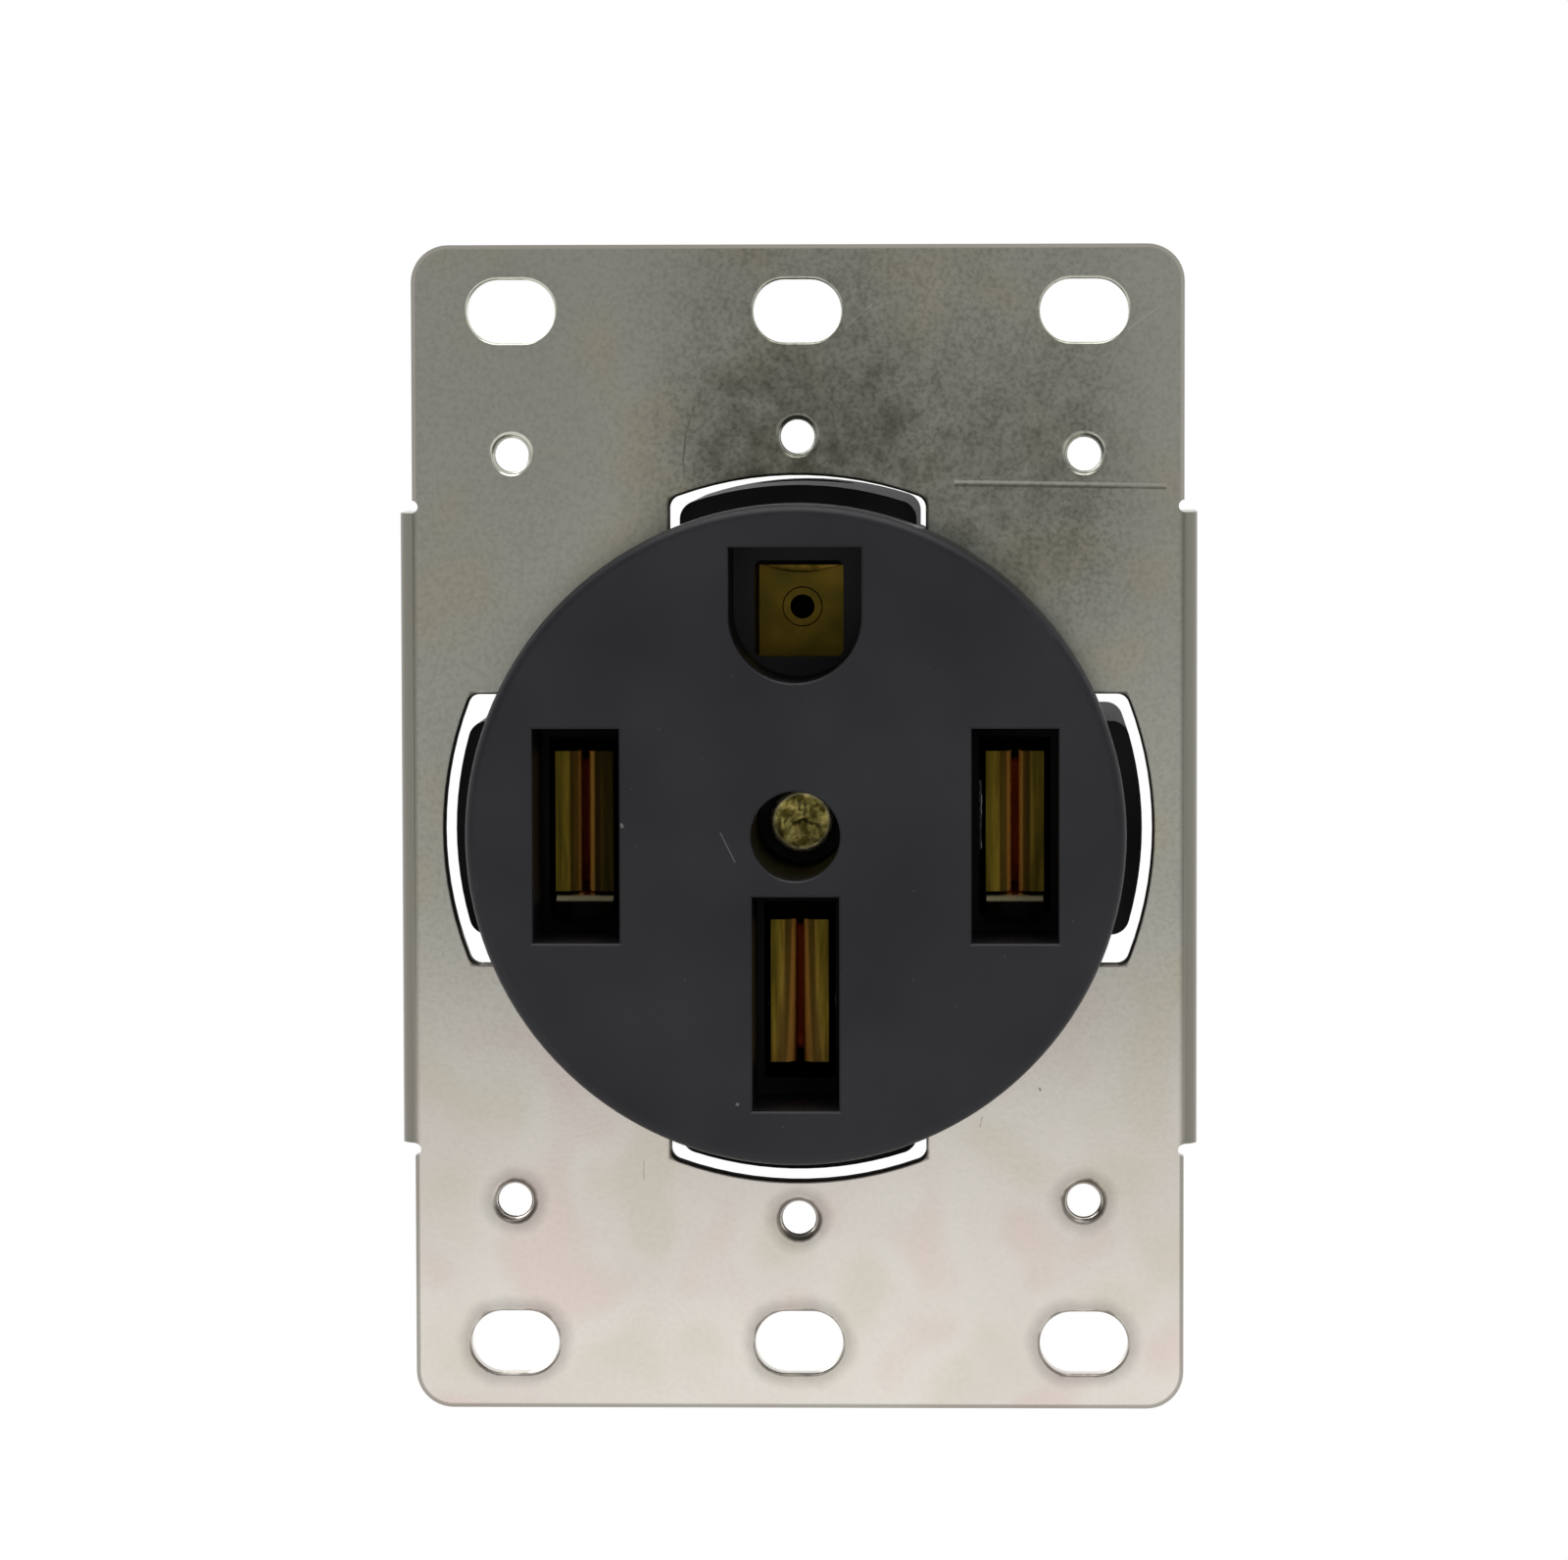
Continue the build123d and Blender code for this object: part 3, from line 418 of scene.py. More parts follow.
def zinc_strap_finish(settings):
    """Zinc plate on rolled steel: warm and smooth below, dulled and peppered above the face, with painted
    light and shade near the face and on its edges, bends and rims.
    """
    material, tree, shader, place = new_finish("zinc_plated_steel", 1.0)
    x = add(tree, SPLIT, (place,))
    y = x.node.outputs["Y"]
    z = x.node.outputs["Z"]
    side = add(tree, MATH, (x,), operation="ABSOLUTE")
    rise = add(tree, MATH, (z,), operation="ABSOLUTE")

    # Clouds as wide as a thumb, and smaller straw and rose tints from the bath
    clouds = add(tree, NOISE, {"Vector": place, "Scale": per_mm(17), "Detail": 2.0})
    plate = tinted(tree, settings.zinc, settings.dull_zinc, clouds, (0.38, 0.64, 0.0, 1.0))
    upper = add(tree, RANGE, (z, -26 * MM, 0.0, 0.0, 1.0), interpolation_type=SOFT)
    plate = add(tree, MIX, {0: upper, 6: plate, 7: settings.grey_zinc}, data_type="RGBA")
    drift = add(tree, NOISE, {"Vector": place, "Scale": per_mm(8), "Detail": 1.0})
    more = add(tree, RANGE, (upper, 0.0, 1.0, 0.60, 1.0))
    plate = tinted(tree, plate, settings.straw, drift, (0.50, 0.68, 0.0, 0.40), more)
    less = add(tree, RANGE, (upper, 0.0, 1.0, 1.0, 0.0))
    plate = tinted(tree, plate, settings.rose, drift, (0.46, 0.30, 0.0, 0.50), less)

    # The patch above the face, partly grime and partly painted reflection and shade, and pepper grain of
    # 0.4 mm, stronger in the patch than beside it
    smudge = add(tree, NOISE, {"Vector": place, "Scale": per_mm(2.4), "Detail": 3.0, "Roughness": 0.6})
    grime_and_reflection = grime_and_reflection_patch(tree, x, z, smudge)
    part = add(tree, MATH, (grime_and_reflection, 0.84), operation="MULTIPLY", use_clamp=True)
    plate = add(tree, MIX, {0: part, 6: plate, 7: settings.grain}, data_type="RGBA")
    pepper = add(tree, NOISE, {"Vector": place, "Scale": per_mm(0.4), "Detail": 2.0, "Roughness": 0.6})
    weight = add(tree, RANGE, (upper, 0.0, 1.0, 0.03, 0.13))
    weight = add(tree, MATH, (grime_and_reflection, 0.55, weight), operation="MULTIPLY_ADD")
    plate = tinted(tree, plate, settings.grain, pepper, (0.38, 0.72, 0.0, 1.0), weight)

    # The sheared outline: a painted highlight on its upper edges, painted shade on its lower edges and on
    # the two bends
    up = add(tree, MATH, (rise, (STRAP_HALF - TAB_CORNER) * MM), operation="SUBTRACT")
    up = add(tree, MATH, (up, 0.0), operation="MAXIMUM")
    outline = capsule(tree, side, up, (TAB_HALF - TAB_CORNER) * MM)
    edge = add(tree, RANGE, (outline, (TAB_CORNER - 0.38) * MM, (TAB_CORNER - 0.24) * MM, 0.0, 1.0))
    tabs = add(tree, RANGE, (rise, (FLANGE_HALF - 0.5) * MM, (FLANGE_HALF + 1) * MM, 0.0, 1.0))
    edge = add(tree, MATH, (edge, tabs), operation="MULTIPLY")
    # Painted highlight on the upper edges
    above = add(tree, RANGE, (z, -5 * MM, 5 * MM, 0.0, 1.0))
    bright = add(tree, MATH, (edge, above), operation="MULTIPLY")
    plate = add(tree, MIX, {0: bright, 6: plate, 7: settings.scratch_and_highlight}, data_type="RGBA")
    # Painted shade on the lower edges
    grey = add(tree, MATH, (edge, bright), operation="SUBTRACT")
    grey = add(tree, MATH, (grey, 0.55), operation="MULTIPLY")
    plate = add(tree, MIX, {0: grey, 6: plate, 7: settings.grain}, data_type="RGBA")
    # Painted shade on the two bends
    flank = add(tree, RANGE, (rise, (FLANGE_HALF - 0.1) * MM, (FLANGE_HALF + 0.5) * MM, 1.0, 0.0))
    bend = ((TAB_HALF - 0.5) * MM, (TAB_HALF + 0.2) * MM, 0.0, 0.95)
    plate = tinted(tree, plate, settings.bend, side, bend, flank)

    # Dark rims: rust and oil, with painted shade
    stain_and_shade = rim_stain_and_shade(tree, place, z, side, rise, smudge)
    plate = add(tree, MIX, {0: stain_and_shade, 6: plate, 7: settings.stain_and_shade}, data_type="RGBA")

    # Gauge line and scratches on the front, ragged; the gauge line is a painted highlight on its lip over
    # a painted shadow in its groove
    ragged = add(tree, MATH, (smudge, 0.14 * MM), operation="MULTIPLY")
    front = add(tree, RANGE, (y, -1.2 * MM, -0.6 * MM, 0.0, 1.0 * MM))
    ragged = add(tree, MATH, (ragged, front), operation="ADD")
    for marks, tint, span in (
        (LIGHT_MARKS, settings.scratch_and_highlight, (0.0, 0.16 * MM, 0.62, 0.0)),
        (DARK_MARKS, settings.grain, (0.0, 0.15 * MM, 0.66, 0.0)),
    ):
        mark = add(tree, MATH, (nearest_mark(tree, place, marks), ragged), operation="ADD")
        plate = tinted(tree, plate, tint, mark, span)

    # Satin all over, duller in the patch above the face and in the dark rims
    dull = add(tree, RANGE, (clouds, 0.3, 0.7, 0.19, 0.24))
    dull = add(tree, MATH, (grime_and_reflection, 0.10, dull), operation="MULTIPLY_ADD")
    dull = add(tree, MATH, (stain_and_shade, 0.25, dull), operation="MULTIPLY_ADD")
    close_finish(tree, shader, plate, dull, pepper, 0.25, 0.006 * MM)
    return material


def black_moulding_finish(name, base, settings, roughness, specular, depth, marks=()):
    """Moulded thermoset: even black with a fine orange peel, and, where marks are given, painted shade on
    the rounded rim and down in the openings.
    """
    material, tree, shader, place = new_finish(name)
    flow = add(tree, NOISE, {"Vector": place, "Scale": per_mm(12), "Detail": 2.0})
    black = tinted(tree, base, settings.nick, flow, (0.3, 0.7, 0.0, 0.06), smooth=False)
    # Dust specks a tenth of a millimetre wide, few and far apart
    dust = add(tree, "ShaderNodeTexVoronoi", {"Vector": place, "Scale": per_mm(2.6)})
    black = tinted(tree, black, settings.nick, dust, (0.02, 0.035, 0.22, 0.0), smooth=False)
    if marks:
        # Painted shade: the rounded rim is darkened
        x = add(tree, SPLIT, (place,))
        radius = from_axis(tree, x, x.node.outputs["Z"])
        rim = (FACE_FLAT * MM, FACE_ROUND * MM, 0.0, 0.6)
        black = tinted(tree, black, settings.recess, radius, rim)
        nick = nearest_mark(tree, place, marks)
        black = tinted(tree, black, settings.nick, nick, (-0.02 * MM, 0.08 * MM, 0.7, 0.0))
        # Painted shade down in the openings, darker with depth
        depths = (-9.6 * MM, -5 * MM, 0.0, 0.9)
        black = tinted(tree, black, settings.recess, x.node.outputs["Y"], depths)
    peel = add(tree, NOISE, {"Vector": place, "Scale": 1 / settings.texture, "Detail": 2.0})
    shine = add(tree, RANGE, (peel, 0.3, 0.7, roughness - 0.04, roughness + 0.06))
    shader.inputs["IOR"].default_value = 1.5
    shader.inputs["Specular IOR Level"].default_value = specular
    close_finish(tree, shader, black, shine, peel, 0.5, depth)
    return material


def leaf_finish(name, settings, middle, foot, head, tongue, shade, opening):
    """Rolled brass leaves: olive fronts that are partly a painted reflection, painted orange highlight
    lines, and painted dark red shade in the gap between them.

    The middle, foot and head place them in millimetres, and a tongue may stand under them.
    The right-hand leaf is dimmed by painted shade, keeping the share given as shade, and the gap is wider
    at its foot than at its head by the opening.
    """
    material, tree, shader, place = new_finish(name)
    x = add(tree, SPLIT, (place,))
    y = x.node.outputs["Y"]
    z = x.node.outputs["Z"]
    hand = add(tree, MATH, (x, middle * MM), operation="SUBTRACT")
    across = add(tree, MATH, (hand,), operation="ABSOLUTE")
    narrow = add(tree, RANGE, (z, head * MM, foot * MM, 1.0, 1.0 / opening))
    across = add(tree, MATH, (across, narrow), operation="MULTIPLY")
    back = add(tree, RANGE, (y, 5.2 * MM, 7.2 * MM, 0.0, 1.0), interpolation_type=SOFT)
    lines = grain_lines(tree, place, (1.0, 1.0, 0.08), 0.45)

    # Olive fronts, darkened as a painted reflection, warming towards the gap with a faint painted
    # highlight
    tone = tinted(tree, settings.olive, settings.tarnish_and_shade, lines, (0.35, 0.70, 0.0, 0.55), smooth=False)
    tone = tinted(tree, tone, settings.highlight_orange, across, (0.5 * MM, 1.7 * MM, 0.26, 0.0))
    # Painted shade dims the right-hand leaf
    tone = tinted(tree, tone, settings.tarnish_and_shade, hand, (-1.8 * MM, 1.8 * MM, 0.0, 1.0 - shade))
    # Painted highlight lines beside the gap, and painted dark red shade in the gap and deep behind the
    # leaves
    tone = tinted(tree, tone, settings.highlight_orange, across, (0.52 * MM, 0.74 * MM, 1.0, 0.0))
    gap = add(tree, RANGE, (across, 0.16 * MM, 0.42 * MM, 1.0, 0.0), interpolation_type=SOFT)
    gap = add(tree, MATH, (gap, back), operation="MAXIMUM")
    tone = add(tree, MIX, {0: gap, 6: tone, 7: settings.gap_shade_red}, data_type="RGBA")
    # Painted shade, brown-black, on what shows beside, above and below the leaves, deep in the slot
    beside = (1.0 * MM, 1.4 * MM, 0.0, 1.0)
    tone = tinted(tree, tone, settings.tarnish_and_shade, across, beside, back, smooth=False)
    above = add(tree, RANGE, (z, (head - 1.6) * MM, (head - 1.1) * MM, 0.0, 1.0))
    below = add(tree, RANGE, (z, (foot + 0.5) * MM, (foot - 0.1) * MM, 0.0, 1.0))
    ends = add(tree, MATH, (above, below), operation="MAXIMUM")
    ends = add(tree, MATH, (ends, back), operation="MULTIPLY")
    tone = add(tree, MIX, {0: ends, 6: tone, 7: settings.tarnish_and_shade}, data_type="RGBA")
    # The film beside the gap is brown lacquer, so it scatters more than it mirrors and the painted
    # highlight there shows
    film = add(tree, RANGE, (across, 0.9 * MM, 1.3 * MM, 1.0, 0.0), interpolation_type=SOFT)
    ahead = add(tree, MATH, (1.0, back), operation="SUBTRACT")
    film = add(tree, MATH, (film, ahead), operation="MULTIPLY")
    if tongue:
        # The tongue under the leaves: a painted pale highlight along its top, painted shade below it
        front = add(tree, RANGE, (y, 5 * MM, 6 * MM, 1.0, 0.0))
        under = add(tree, RANGE, (z, (foot - 0.1) * MM, (foot - 0.25) * MM, 0.0, 1.0))
        under = add(tree, MATH, (under, front), operation="MULTIPLY")
        tone = add(tree, MIX, {0: under, 6: tone, 7: settings.tarnish_and_shade}, data_type="RGBA")
        edge = add(tree, RANGE, (z, (foot - 0.66) * MM, (foot - 0.50) * MM, 0.0, 1.0))
        edge = add(tree, MATH, (edge, under), operation="MULTIPLY")
        tone = add(tree, MIX, {0: edge, 6: tone, 7: settings.highlight_cream}, data_type="RGBA")
        film = add(tree, MATH, (film, edge), operation="MAXIMUM")
    metallic = add(tree, MATH, (film, -0.85, 1.0), operation="MULTIPLY_ADD")
    tree.links.new(metallic, shader.inputs["Metallic"])
    shader.inputs["Specular IOR Level"].default_value = 0.06

    # The tails behind the housing keep clean brass
    drift = add(tree, NOISE, {"Vector": place, "Scale": per_mm(5), "Detail": 2.0})
    fresh = tinted(tree, settings.brass, settings.olive, drift, (0.35, 0.70, 0.0, 0.4), smooth=False)
    tone = tinted(tree, tone, fresh, y, (15 * MM, 17 * MM, 0.0, 1.0), smooth=False)
    shine = add(tree, RANGE, (lines, 0.3, 0.7, 0.26, 0.38))
    close_finish(tree, shader, tone, shine, lines, 0.2, 0.008 * MM)
    return material


def brass_finish(name, bright, dark, roughness, stretch):
    """Rolled or turned brass: fine lines one way, with brown tarnish in drifts."""
    material, tree, shader, place = new_finish(name, 1.0)
    drift = add(tree, NOISE, {"Vector": place, "Scale": per_mm(3.5), "Detail": 3.0, "Roughness": 0.6})
    tone = tinted(tree, bright, dark, drift, (0.40, 0.72, 0.0, 1.0))
    shine = add(tree, RANGE, (drift, 0.3, 0.7, roughness - 0.04, roughness + 0.12))
    lines = grain_lines(tree, place, stretch, 0.25)
    close_finish(tree, shader, tone, shine, lines, 0.3, 0.01 * MM)
    return material


def peened_finish(settings):
    """Hammered end of a yellow-plated screw: bruised olive hollows, bright ridges, and a painted
    highlight on the rim.
    """
    material, tree, shader, place = new_finish("peened_screw_plate", 1.0)
    x = add(tree, SPLIT, (place,))
    radius = from_axis(tree, x, x.node.outputs["Z"])
    blows = add(tree, NOISE, {"Vector": place, "Scale": per_mm(1.1), "Detail": 3.0, "Roughness": 0.65})
    tone = tinted(tree, settings.gilt, settings.bruise, blows, (0.42, 0.60, 0.0, 0.85))
    # Painted highlight on the rolled rim near the tip
    rim = add(tree, RANGE, (radius, 2.05 * MM, 2.35 * MM, 0.0, 0.9), interpolation_type=SOFT)
    tip = add(tree, RANGE, (x.node.outputs["Y"], 8.3 * MM, 8.9 * MM, 1.0, 0.0))
    rim = add(tree, MATH, (rim, tip), operation="MULTIPLY")
    tone = add(tree, MIX, {0: rim, 6: tone, 7: settings.highlight_cream}, data_type="RGBA")
    # Rolled over and scuffed, the rim scatters light as well as mirroring it, so its painted highlight
    # shows
    metallic = add(tree, MATH, (rim, -0.6, 1.0), operation="MULTIPLY_ADD")
    tree.links.new(metallic, shader.inputs["Metallic"])
    shine = add(tree, RANGE, (blows, 0.35, 0.65, 0.24, 0.42))
    close_finish(tree, shader, tone, shine, blows, 0.6, 0.05 * MM)
    return material


def plated_finish(name, base, roughness, stretch=(1.0, 1.0, 1.0)):
    """Plated or drawn metal: one colour, with faint clouds and fine lines."""
    material, tree, shader, place = new_finish(name, 1.0)
    clouds = add(tree, NOISE, {"Vector": place, "Scale": per_mm(3), "Detail": 2.0})
    shade = (*(0.72 * channel for channel in base[:3]), 1.0)
    tone = tinted(tree, base, shade, clouds, (0.35, 0.75, 0.0, 1.0))
    lines = grain_lines(tree, place, stretch, 0.3)
    shine = add(tree, RANGE, (lines, 0.3, 0.7, roughness - 0.05, roughness + 0.1))
    close_finish(tree, shader, tone, shine, lines, 0.4, 0.012 * MM)
    return material


def dress(nodes, material):
    """Give carried-over pieces a finish in place of their plain one."""
    for name in nodes:
        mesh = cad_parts[name].data
        mesh.materials.clear()
        mesh.materials.append(material)


def shade_by_angle(mesh):
    """Smooth shading, with the sharp edges kept crisp."""
    work = bmesh.new()
    work.from_mesh(mesh)
    bmesh.ops.recalc_face_normals(work, faces=work.faces)
    for edge in work.edges:
        edge.smooth = edge.is_manifold and edge.calc_face_angle() < radians(SHARP_ANGLE)
    for face in work.faces:
        face.smooth = True
    work.to_mesh(mesh)
    work.free()


def linked(name, data):
    """New object in the scene, for a mesh, a lamp or a camera."""
    item = bpy.data.objects.new(name, data)
    bpy.context.scene.collection.objects.link(item)
    return item


def new_piece(name, mesh, stands_for=()):
    """Link a finished mesh as a piece that rides on the body and stands for its nodes."""
    mesh.name = name
    piece = linked(name, mesh)
    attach(piece, "root")
    if stands_for:
        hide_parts(*stands_for)


def result_of(item):
    """Plain mesh of an object with its modifiers done, and the object itself is removed."""
    bpy.context.view_layer.update()
    graph = bpy.context.evaluated_depsgraph_get()
    mesh = bpy.data.meshes.new_from_object(item.evaluated_get(graph))
    bpy.data.objects.remove(item)
    return mesh


def new_group(name, sockets):
    """New geometry group with named inputs, and those inputs as its nodes see them."""
    tree = bpy.data.node_groups.new(name, "GeometryNodeTree")
    for socket, kind in sockets.items():
        tree.interface.new_socket(socket, in_out="INPUT", socket_type=f"NodeSocket{kind}")
    tree.interface.new_socket("Geometry", in_out="OUTPUT", socket_type="NodeSocketGeometry")
    return tree, tree.nodes.new("NodeGroupInput").outputs


def close_group(tree, geometry, material):
    """Make a group's copies real, give them their material and put them out."""
    real = add(tree, "GeometryNodeRealizeInstances", {"Geometry": geometry})
    coated = add(tree, "GeometryNodeSetMaterial", {"Geometry": real, "Material": material})
    add(tree, "NodeGroupOutput", {"Geometry": coated})


def shank_tree():
    """Geometry nodes that turn a screw's shank with a real helical thread."""
    sockets = {
        "Radius": "Float",
        "Length": "Float",
        "Pitch": "Float",
        "Depth": "Float",
        "Segments": "Int",
        "Rows": "Int",
        "Material": "Material",
    }
    tree, given = new_group("threaded_shank", sockets)
    shank = add(
        tree, "GeometryNodeMeshCylinder",
        {
            "Vertices": given["Segments"],
            "Side Segments": given["Rows"],
            "Radius": given["Radius"],
            "Depth": given["Length"],
        },
    )
    place = add(tree, "GeometryNodeInputPosition")
    x = add(tree, SPLIT, (place,))
    y = x.node.outputs["Y"]
    z = x.node.outputs["Z"]
    # How far into a turn of the thread each point lies, from its angle and its height
    turn = add(tree, MATH, (y, x), operation="ARCTAN2")
    turn = add(tree, MATH, (turn, 2 * pi), operation="DIVIDE")
    along = add(tree, MATH, (z, given["Pitch"]), operation="DIVIDE")
    along = add(tree, MATH, (along, turn), operation="SUBTRACT")
    along = add(tree, MATH, (along,), operation="FRACT")
    along = away_from(tree, along, 0.5)
    groove = add(tree, RANGE, (along, 0.06, 0.44, 0.0, 1.0), interpolation_type=SOFT)
    # The thread runs out to its root at both ends
    half = add(tree, MATH, (given["Length"], 0.5), operation="MULTIPLY")
    away = add(tree, MATH, (z,), operation="ABSOLUTE")
    inside = add(tree, MATH, (half, away), operation="SUBTRACT")
    runout = add(tree, MATH, (given["Depth"], 1.6), operation="MULTIPLY")
    fade = add(tree, MATH, (inside, runout), operation="DIVIDE")
    fade = add(tree, MATH, (1.0, fade), operation="SUBTRACT", use_clamp=True)
    cut_in = add(tree, MATH, (groove, fade), operation="MAXIMUM")
    cut_in = add(tree, MATH, (cut_in, given["Depth"]), operation="MULTIPLY")
    ratio = add(tree, MATH, (given["Radius"], cut_in), operation="SUBTRACT")
    ratio = add(tree, MATH, (ratio, given["Radius"]), operation="DIVIDE")
    across = add(tree, MATH, (x, ratio), operation="MULTIPLY")
    up = add(tree, MATH, (y, ratio), operation="MULTIPLY")
    moved = add(tree, JOIN, (across, up, z))
    turned = add(tree, "GeometryNodeSetPosition", {"Geometry": shank, "Position": moved})
    close_group(tree, turned, given["Material"])
    return tree


def ridge_tree():
    """Geometry nodes that set a helical ridge into each hole of a list of points."""
    sockets = {
        "Holes": "Geometry",
        "Radius": "Float",
        "Height": "Float",
        "Pitch": "Float",
        "Turns": "Float",
        "Material": "Material",
    }
    tree, given = new_group("tapped_holes", sockets)
    climb = add(tree, MATH, (given["Pitch"], given["Turns"]), operation="MULTIPLY")
    helix = add(
        tree, "GeometryNodeCurveSpiral",
        {
            "Resolution": 48,
            "Rotations": given["Turns"],
            "Start Radius": given["Radius"],
            "End Radius": given["Radius"],
            "Height": climb,
        },
    )
    helix = add(tree, "GeometryNodeSetCurveNormal", {"Curve": helix}, mode="Z_UP")
    profile = add(
        tree, "GeometryNodeCurvePrimitiveCircle", {"Resolution": 6, "Radius": given["Height"]}
    )
    ridge = add(
        tree, "GeometryNodeCurveToMesh",
        {"Curve": helix, "Profile Curve": profile, "Fill Caps": True},
    )
    ridge = add(tree, "GeometryNodeTransform", {"Geometry": ridge, "Rotation": (pi / 2, 0, 0)})
    copies = add(
        tree, "GeometryNodeInstanceOnPoints", {"Points": given["Holes"], "Instance": ridge}
    )
    close_group(tree, copies, given["Material"])
    return tree


def grown(tree, points, values):
    """Run a geometry tree on some points with named inputs, and keep the result as a mesh."""
    seed = bpy.data.meshes.new("seed")
    seed.from_pydata(points, [], [])
    holder = linked("seed", seed)
    modifier = holder.modifiers.new("grow", "NODES")
    modifier.node_group = tree
    for item in tree.interface.items_tree:
        if item.in_out == "INPUT" and item.name in values:
            modifier[item.identifier] = values[item.name]
    return result_of(holder)


def box_mesh(low, high):
    """Closed box between two corners, as a cutter."""
    mesh = bpy.data.meshes.new("cutter")
    work = bmesh.new()
    bmesh.ops.create_cube(work, size=1.0)
    bmesh.ops.scale(work, vec=Vector(high) - Vector(low), verts=work.verts)
    bmesh.ops.translate(work, vec=(Vector(high) + Vector(low)) / 2, verts=work.verts)
    work.to_mesh(mesh)
    work.free()
    return mesh


def cut(mesh, cutter):
    """Take one mesh away from another, and return the result."""
    body = linked("body", mesh)
    tool = linked("tool", cutter)
    modifier = body.modifiers.new("slot", "BOOLEAN")
    modifier.operation = "DIFFERENCE"
    modifier.solver = "EXACT"
    modifier.object = tool
    result = result_of(body)
    bpy.data.objects.remove(tool)
    return result


def lay_along(mesh, middle, direction):
    """Turn a mesh that was made along Z to a direction, about a middle."""
    turn = direction.to_track_quat("Z", "Y").to_matrix().to_4x4()
    mesh.transform(Matrix.Translation(middle) @ turn)


def lathe(rows, segments, dent=0.0):
    """Closed turned mesh along Y from rows of depth, radius and share of the dent."""
    work = bmesh.new()
    rings = []
    for depth, radius, dented in rows:
        ring = []
        for step in range(segments if radius else 1):
            turn = 2 * pi * step / segments
            spot = Vector((cos(turn) * radius, depth, sin(turn) * radius))
            blow = noise.noise(spot * per_mm(0.9)) + 0.5 * noise.noise(spot * per_mm(0.45))
            spot.y += dented * dent * (0.5 + blow)
            ring.append(work.verts.new(spot))
        rings.append(ring)
    for first, second in zip(rings, rings[1:]):
        for step in range(segments):
            after = (step + 1) % segments
            corners = [first[step % len(first)], first[after % len(first)]]
            corners += [second[after % len(second)], second[step % len(second)]]
            unique = list(dict.fromkeys(corners))
            if len(unique) > 2:
                work.faces.new(unique)
    bmesh.ops.recalc_face_normals(work, faces=work.faces)
    mesh = bpy.data.meshes.new("turned")
    work.to_mesh(mesh)
    work.free()
    return mesh


def joined(meshes, material):
    """One mesh out of several closed ones, with one finish."""
    work = bmesh.new()
    for mesh in meshes:
        work.from_mesh(mesh)
    result = bpy.data.meshes.new("joined")
    work.to_mesh(result)
    work.free()
    result.materials.append(material)
    for face in result.polygons:
        face.material_index = 0
    return result


class SOCKET_OT_strap(bpy.types.Operator):
    """Finish the steel strap and tap its six plate holes"""

    bl_idname = "socket.strap"
    bl_label = "Mounting Strap"

    def execute(self, context):
        settings = context.scene.socket.strap
        zinc = zinc_strap_finish(settings)
        dress(["mounting_strap"], zinc)
        holes = [(sx * GANG, sz * PLATE_RISE) for sx in (-1, 1) for sz in (-1, 1)]
        holes += [(0, -MID_RISE), (0, MID_RISE)]
        mesh = grown(
            ridge_tree(),
            [(x * MM, RIDGE_START * MM, z * MM) for x, z in holes],
            {
                "Radius": PLATE_ROUND * MM,
                "Height": settings.thread_height,
                "Pitch": settings.thread_pitch,
                "Turns": RIDGE_TURNS,
                "Material": zinc,
            },
        )
        new_piece("plate_hole_threads", mesh)
        return {"FINISHED"}


class SOCKET_OT_mouldings(bpy.types.Operator):
    """Finish the black face, the base housing and the terminal cover"""

    bl_idname = "socket.mouldings"
    bl_label = "Mouldings"

    def execute(self, context):
        settings = context.scene.socket.moulding
        face = black_moulding_finish(
            "satin_moulded_face", settings.face, settings, 0.42, 0.32, 0.006 * MM, FACE_MARKS
        )
        body = black_moulding_finish(
            "matt_moulded_housing", settings.body, settings, 0.55, 0.03, 0.012 * MM
        )
        dress(["face_cover"], face)
        dress(["base_housing", "terminal_cover"], body)
        return {"FINISHED"}


class SOCKET_OT_contacts(bpy.types.Operator):
    """Finish the brass contacts, the bonding strip and the rivet"""

    bl_idname = "socket.contacts"
    bl_label = "Contacts"

    def execute(self, context):
        settings = context.scene.socket.metal
        for name, middle, foot, head, tongue, shade, opening in (
            ("line_x", -17.30, -5.5, 6.1, True, 0.12, 1.0),
            ("line_y", 17.46, -5.5, 6.1, True, 0.6, 1.0),
            ("neutral", 0.0, -19.2, -7.6, False, 1.0, 1.7),
        ):
            finish = leaf_finish(
                f"{name}_leaf_brass", settings, middle, foot, head, tongue, shade, opening
            )
            dress([f"{name}_contact"], finish)
        plate = brass_finish(
            "ground_plate_brass", settings.plate, settings.bruise, 0.34, (1.0, 1.0, 0.1)
        )
        dress(["ground_contact", "ground_rivet"], plate)
        strip = brass_finish(
            "rolled_bonding_brass", settings.brass, settings.olive, 0.26, (1.0, 1.0, 0.1)
        )
        dress(["bonding_strip"], strip)
        return {"FINISHED"}


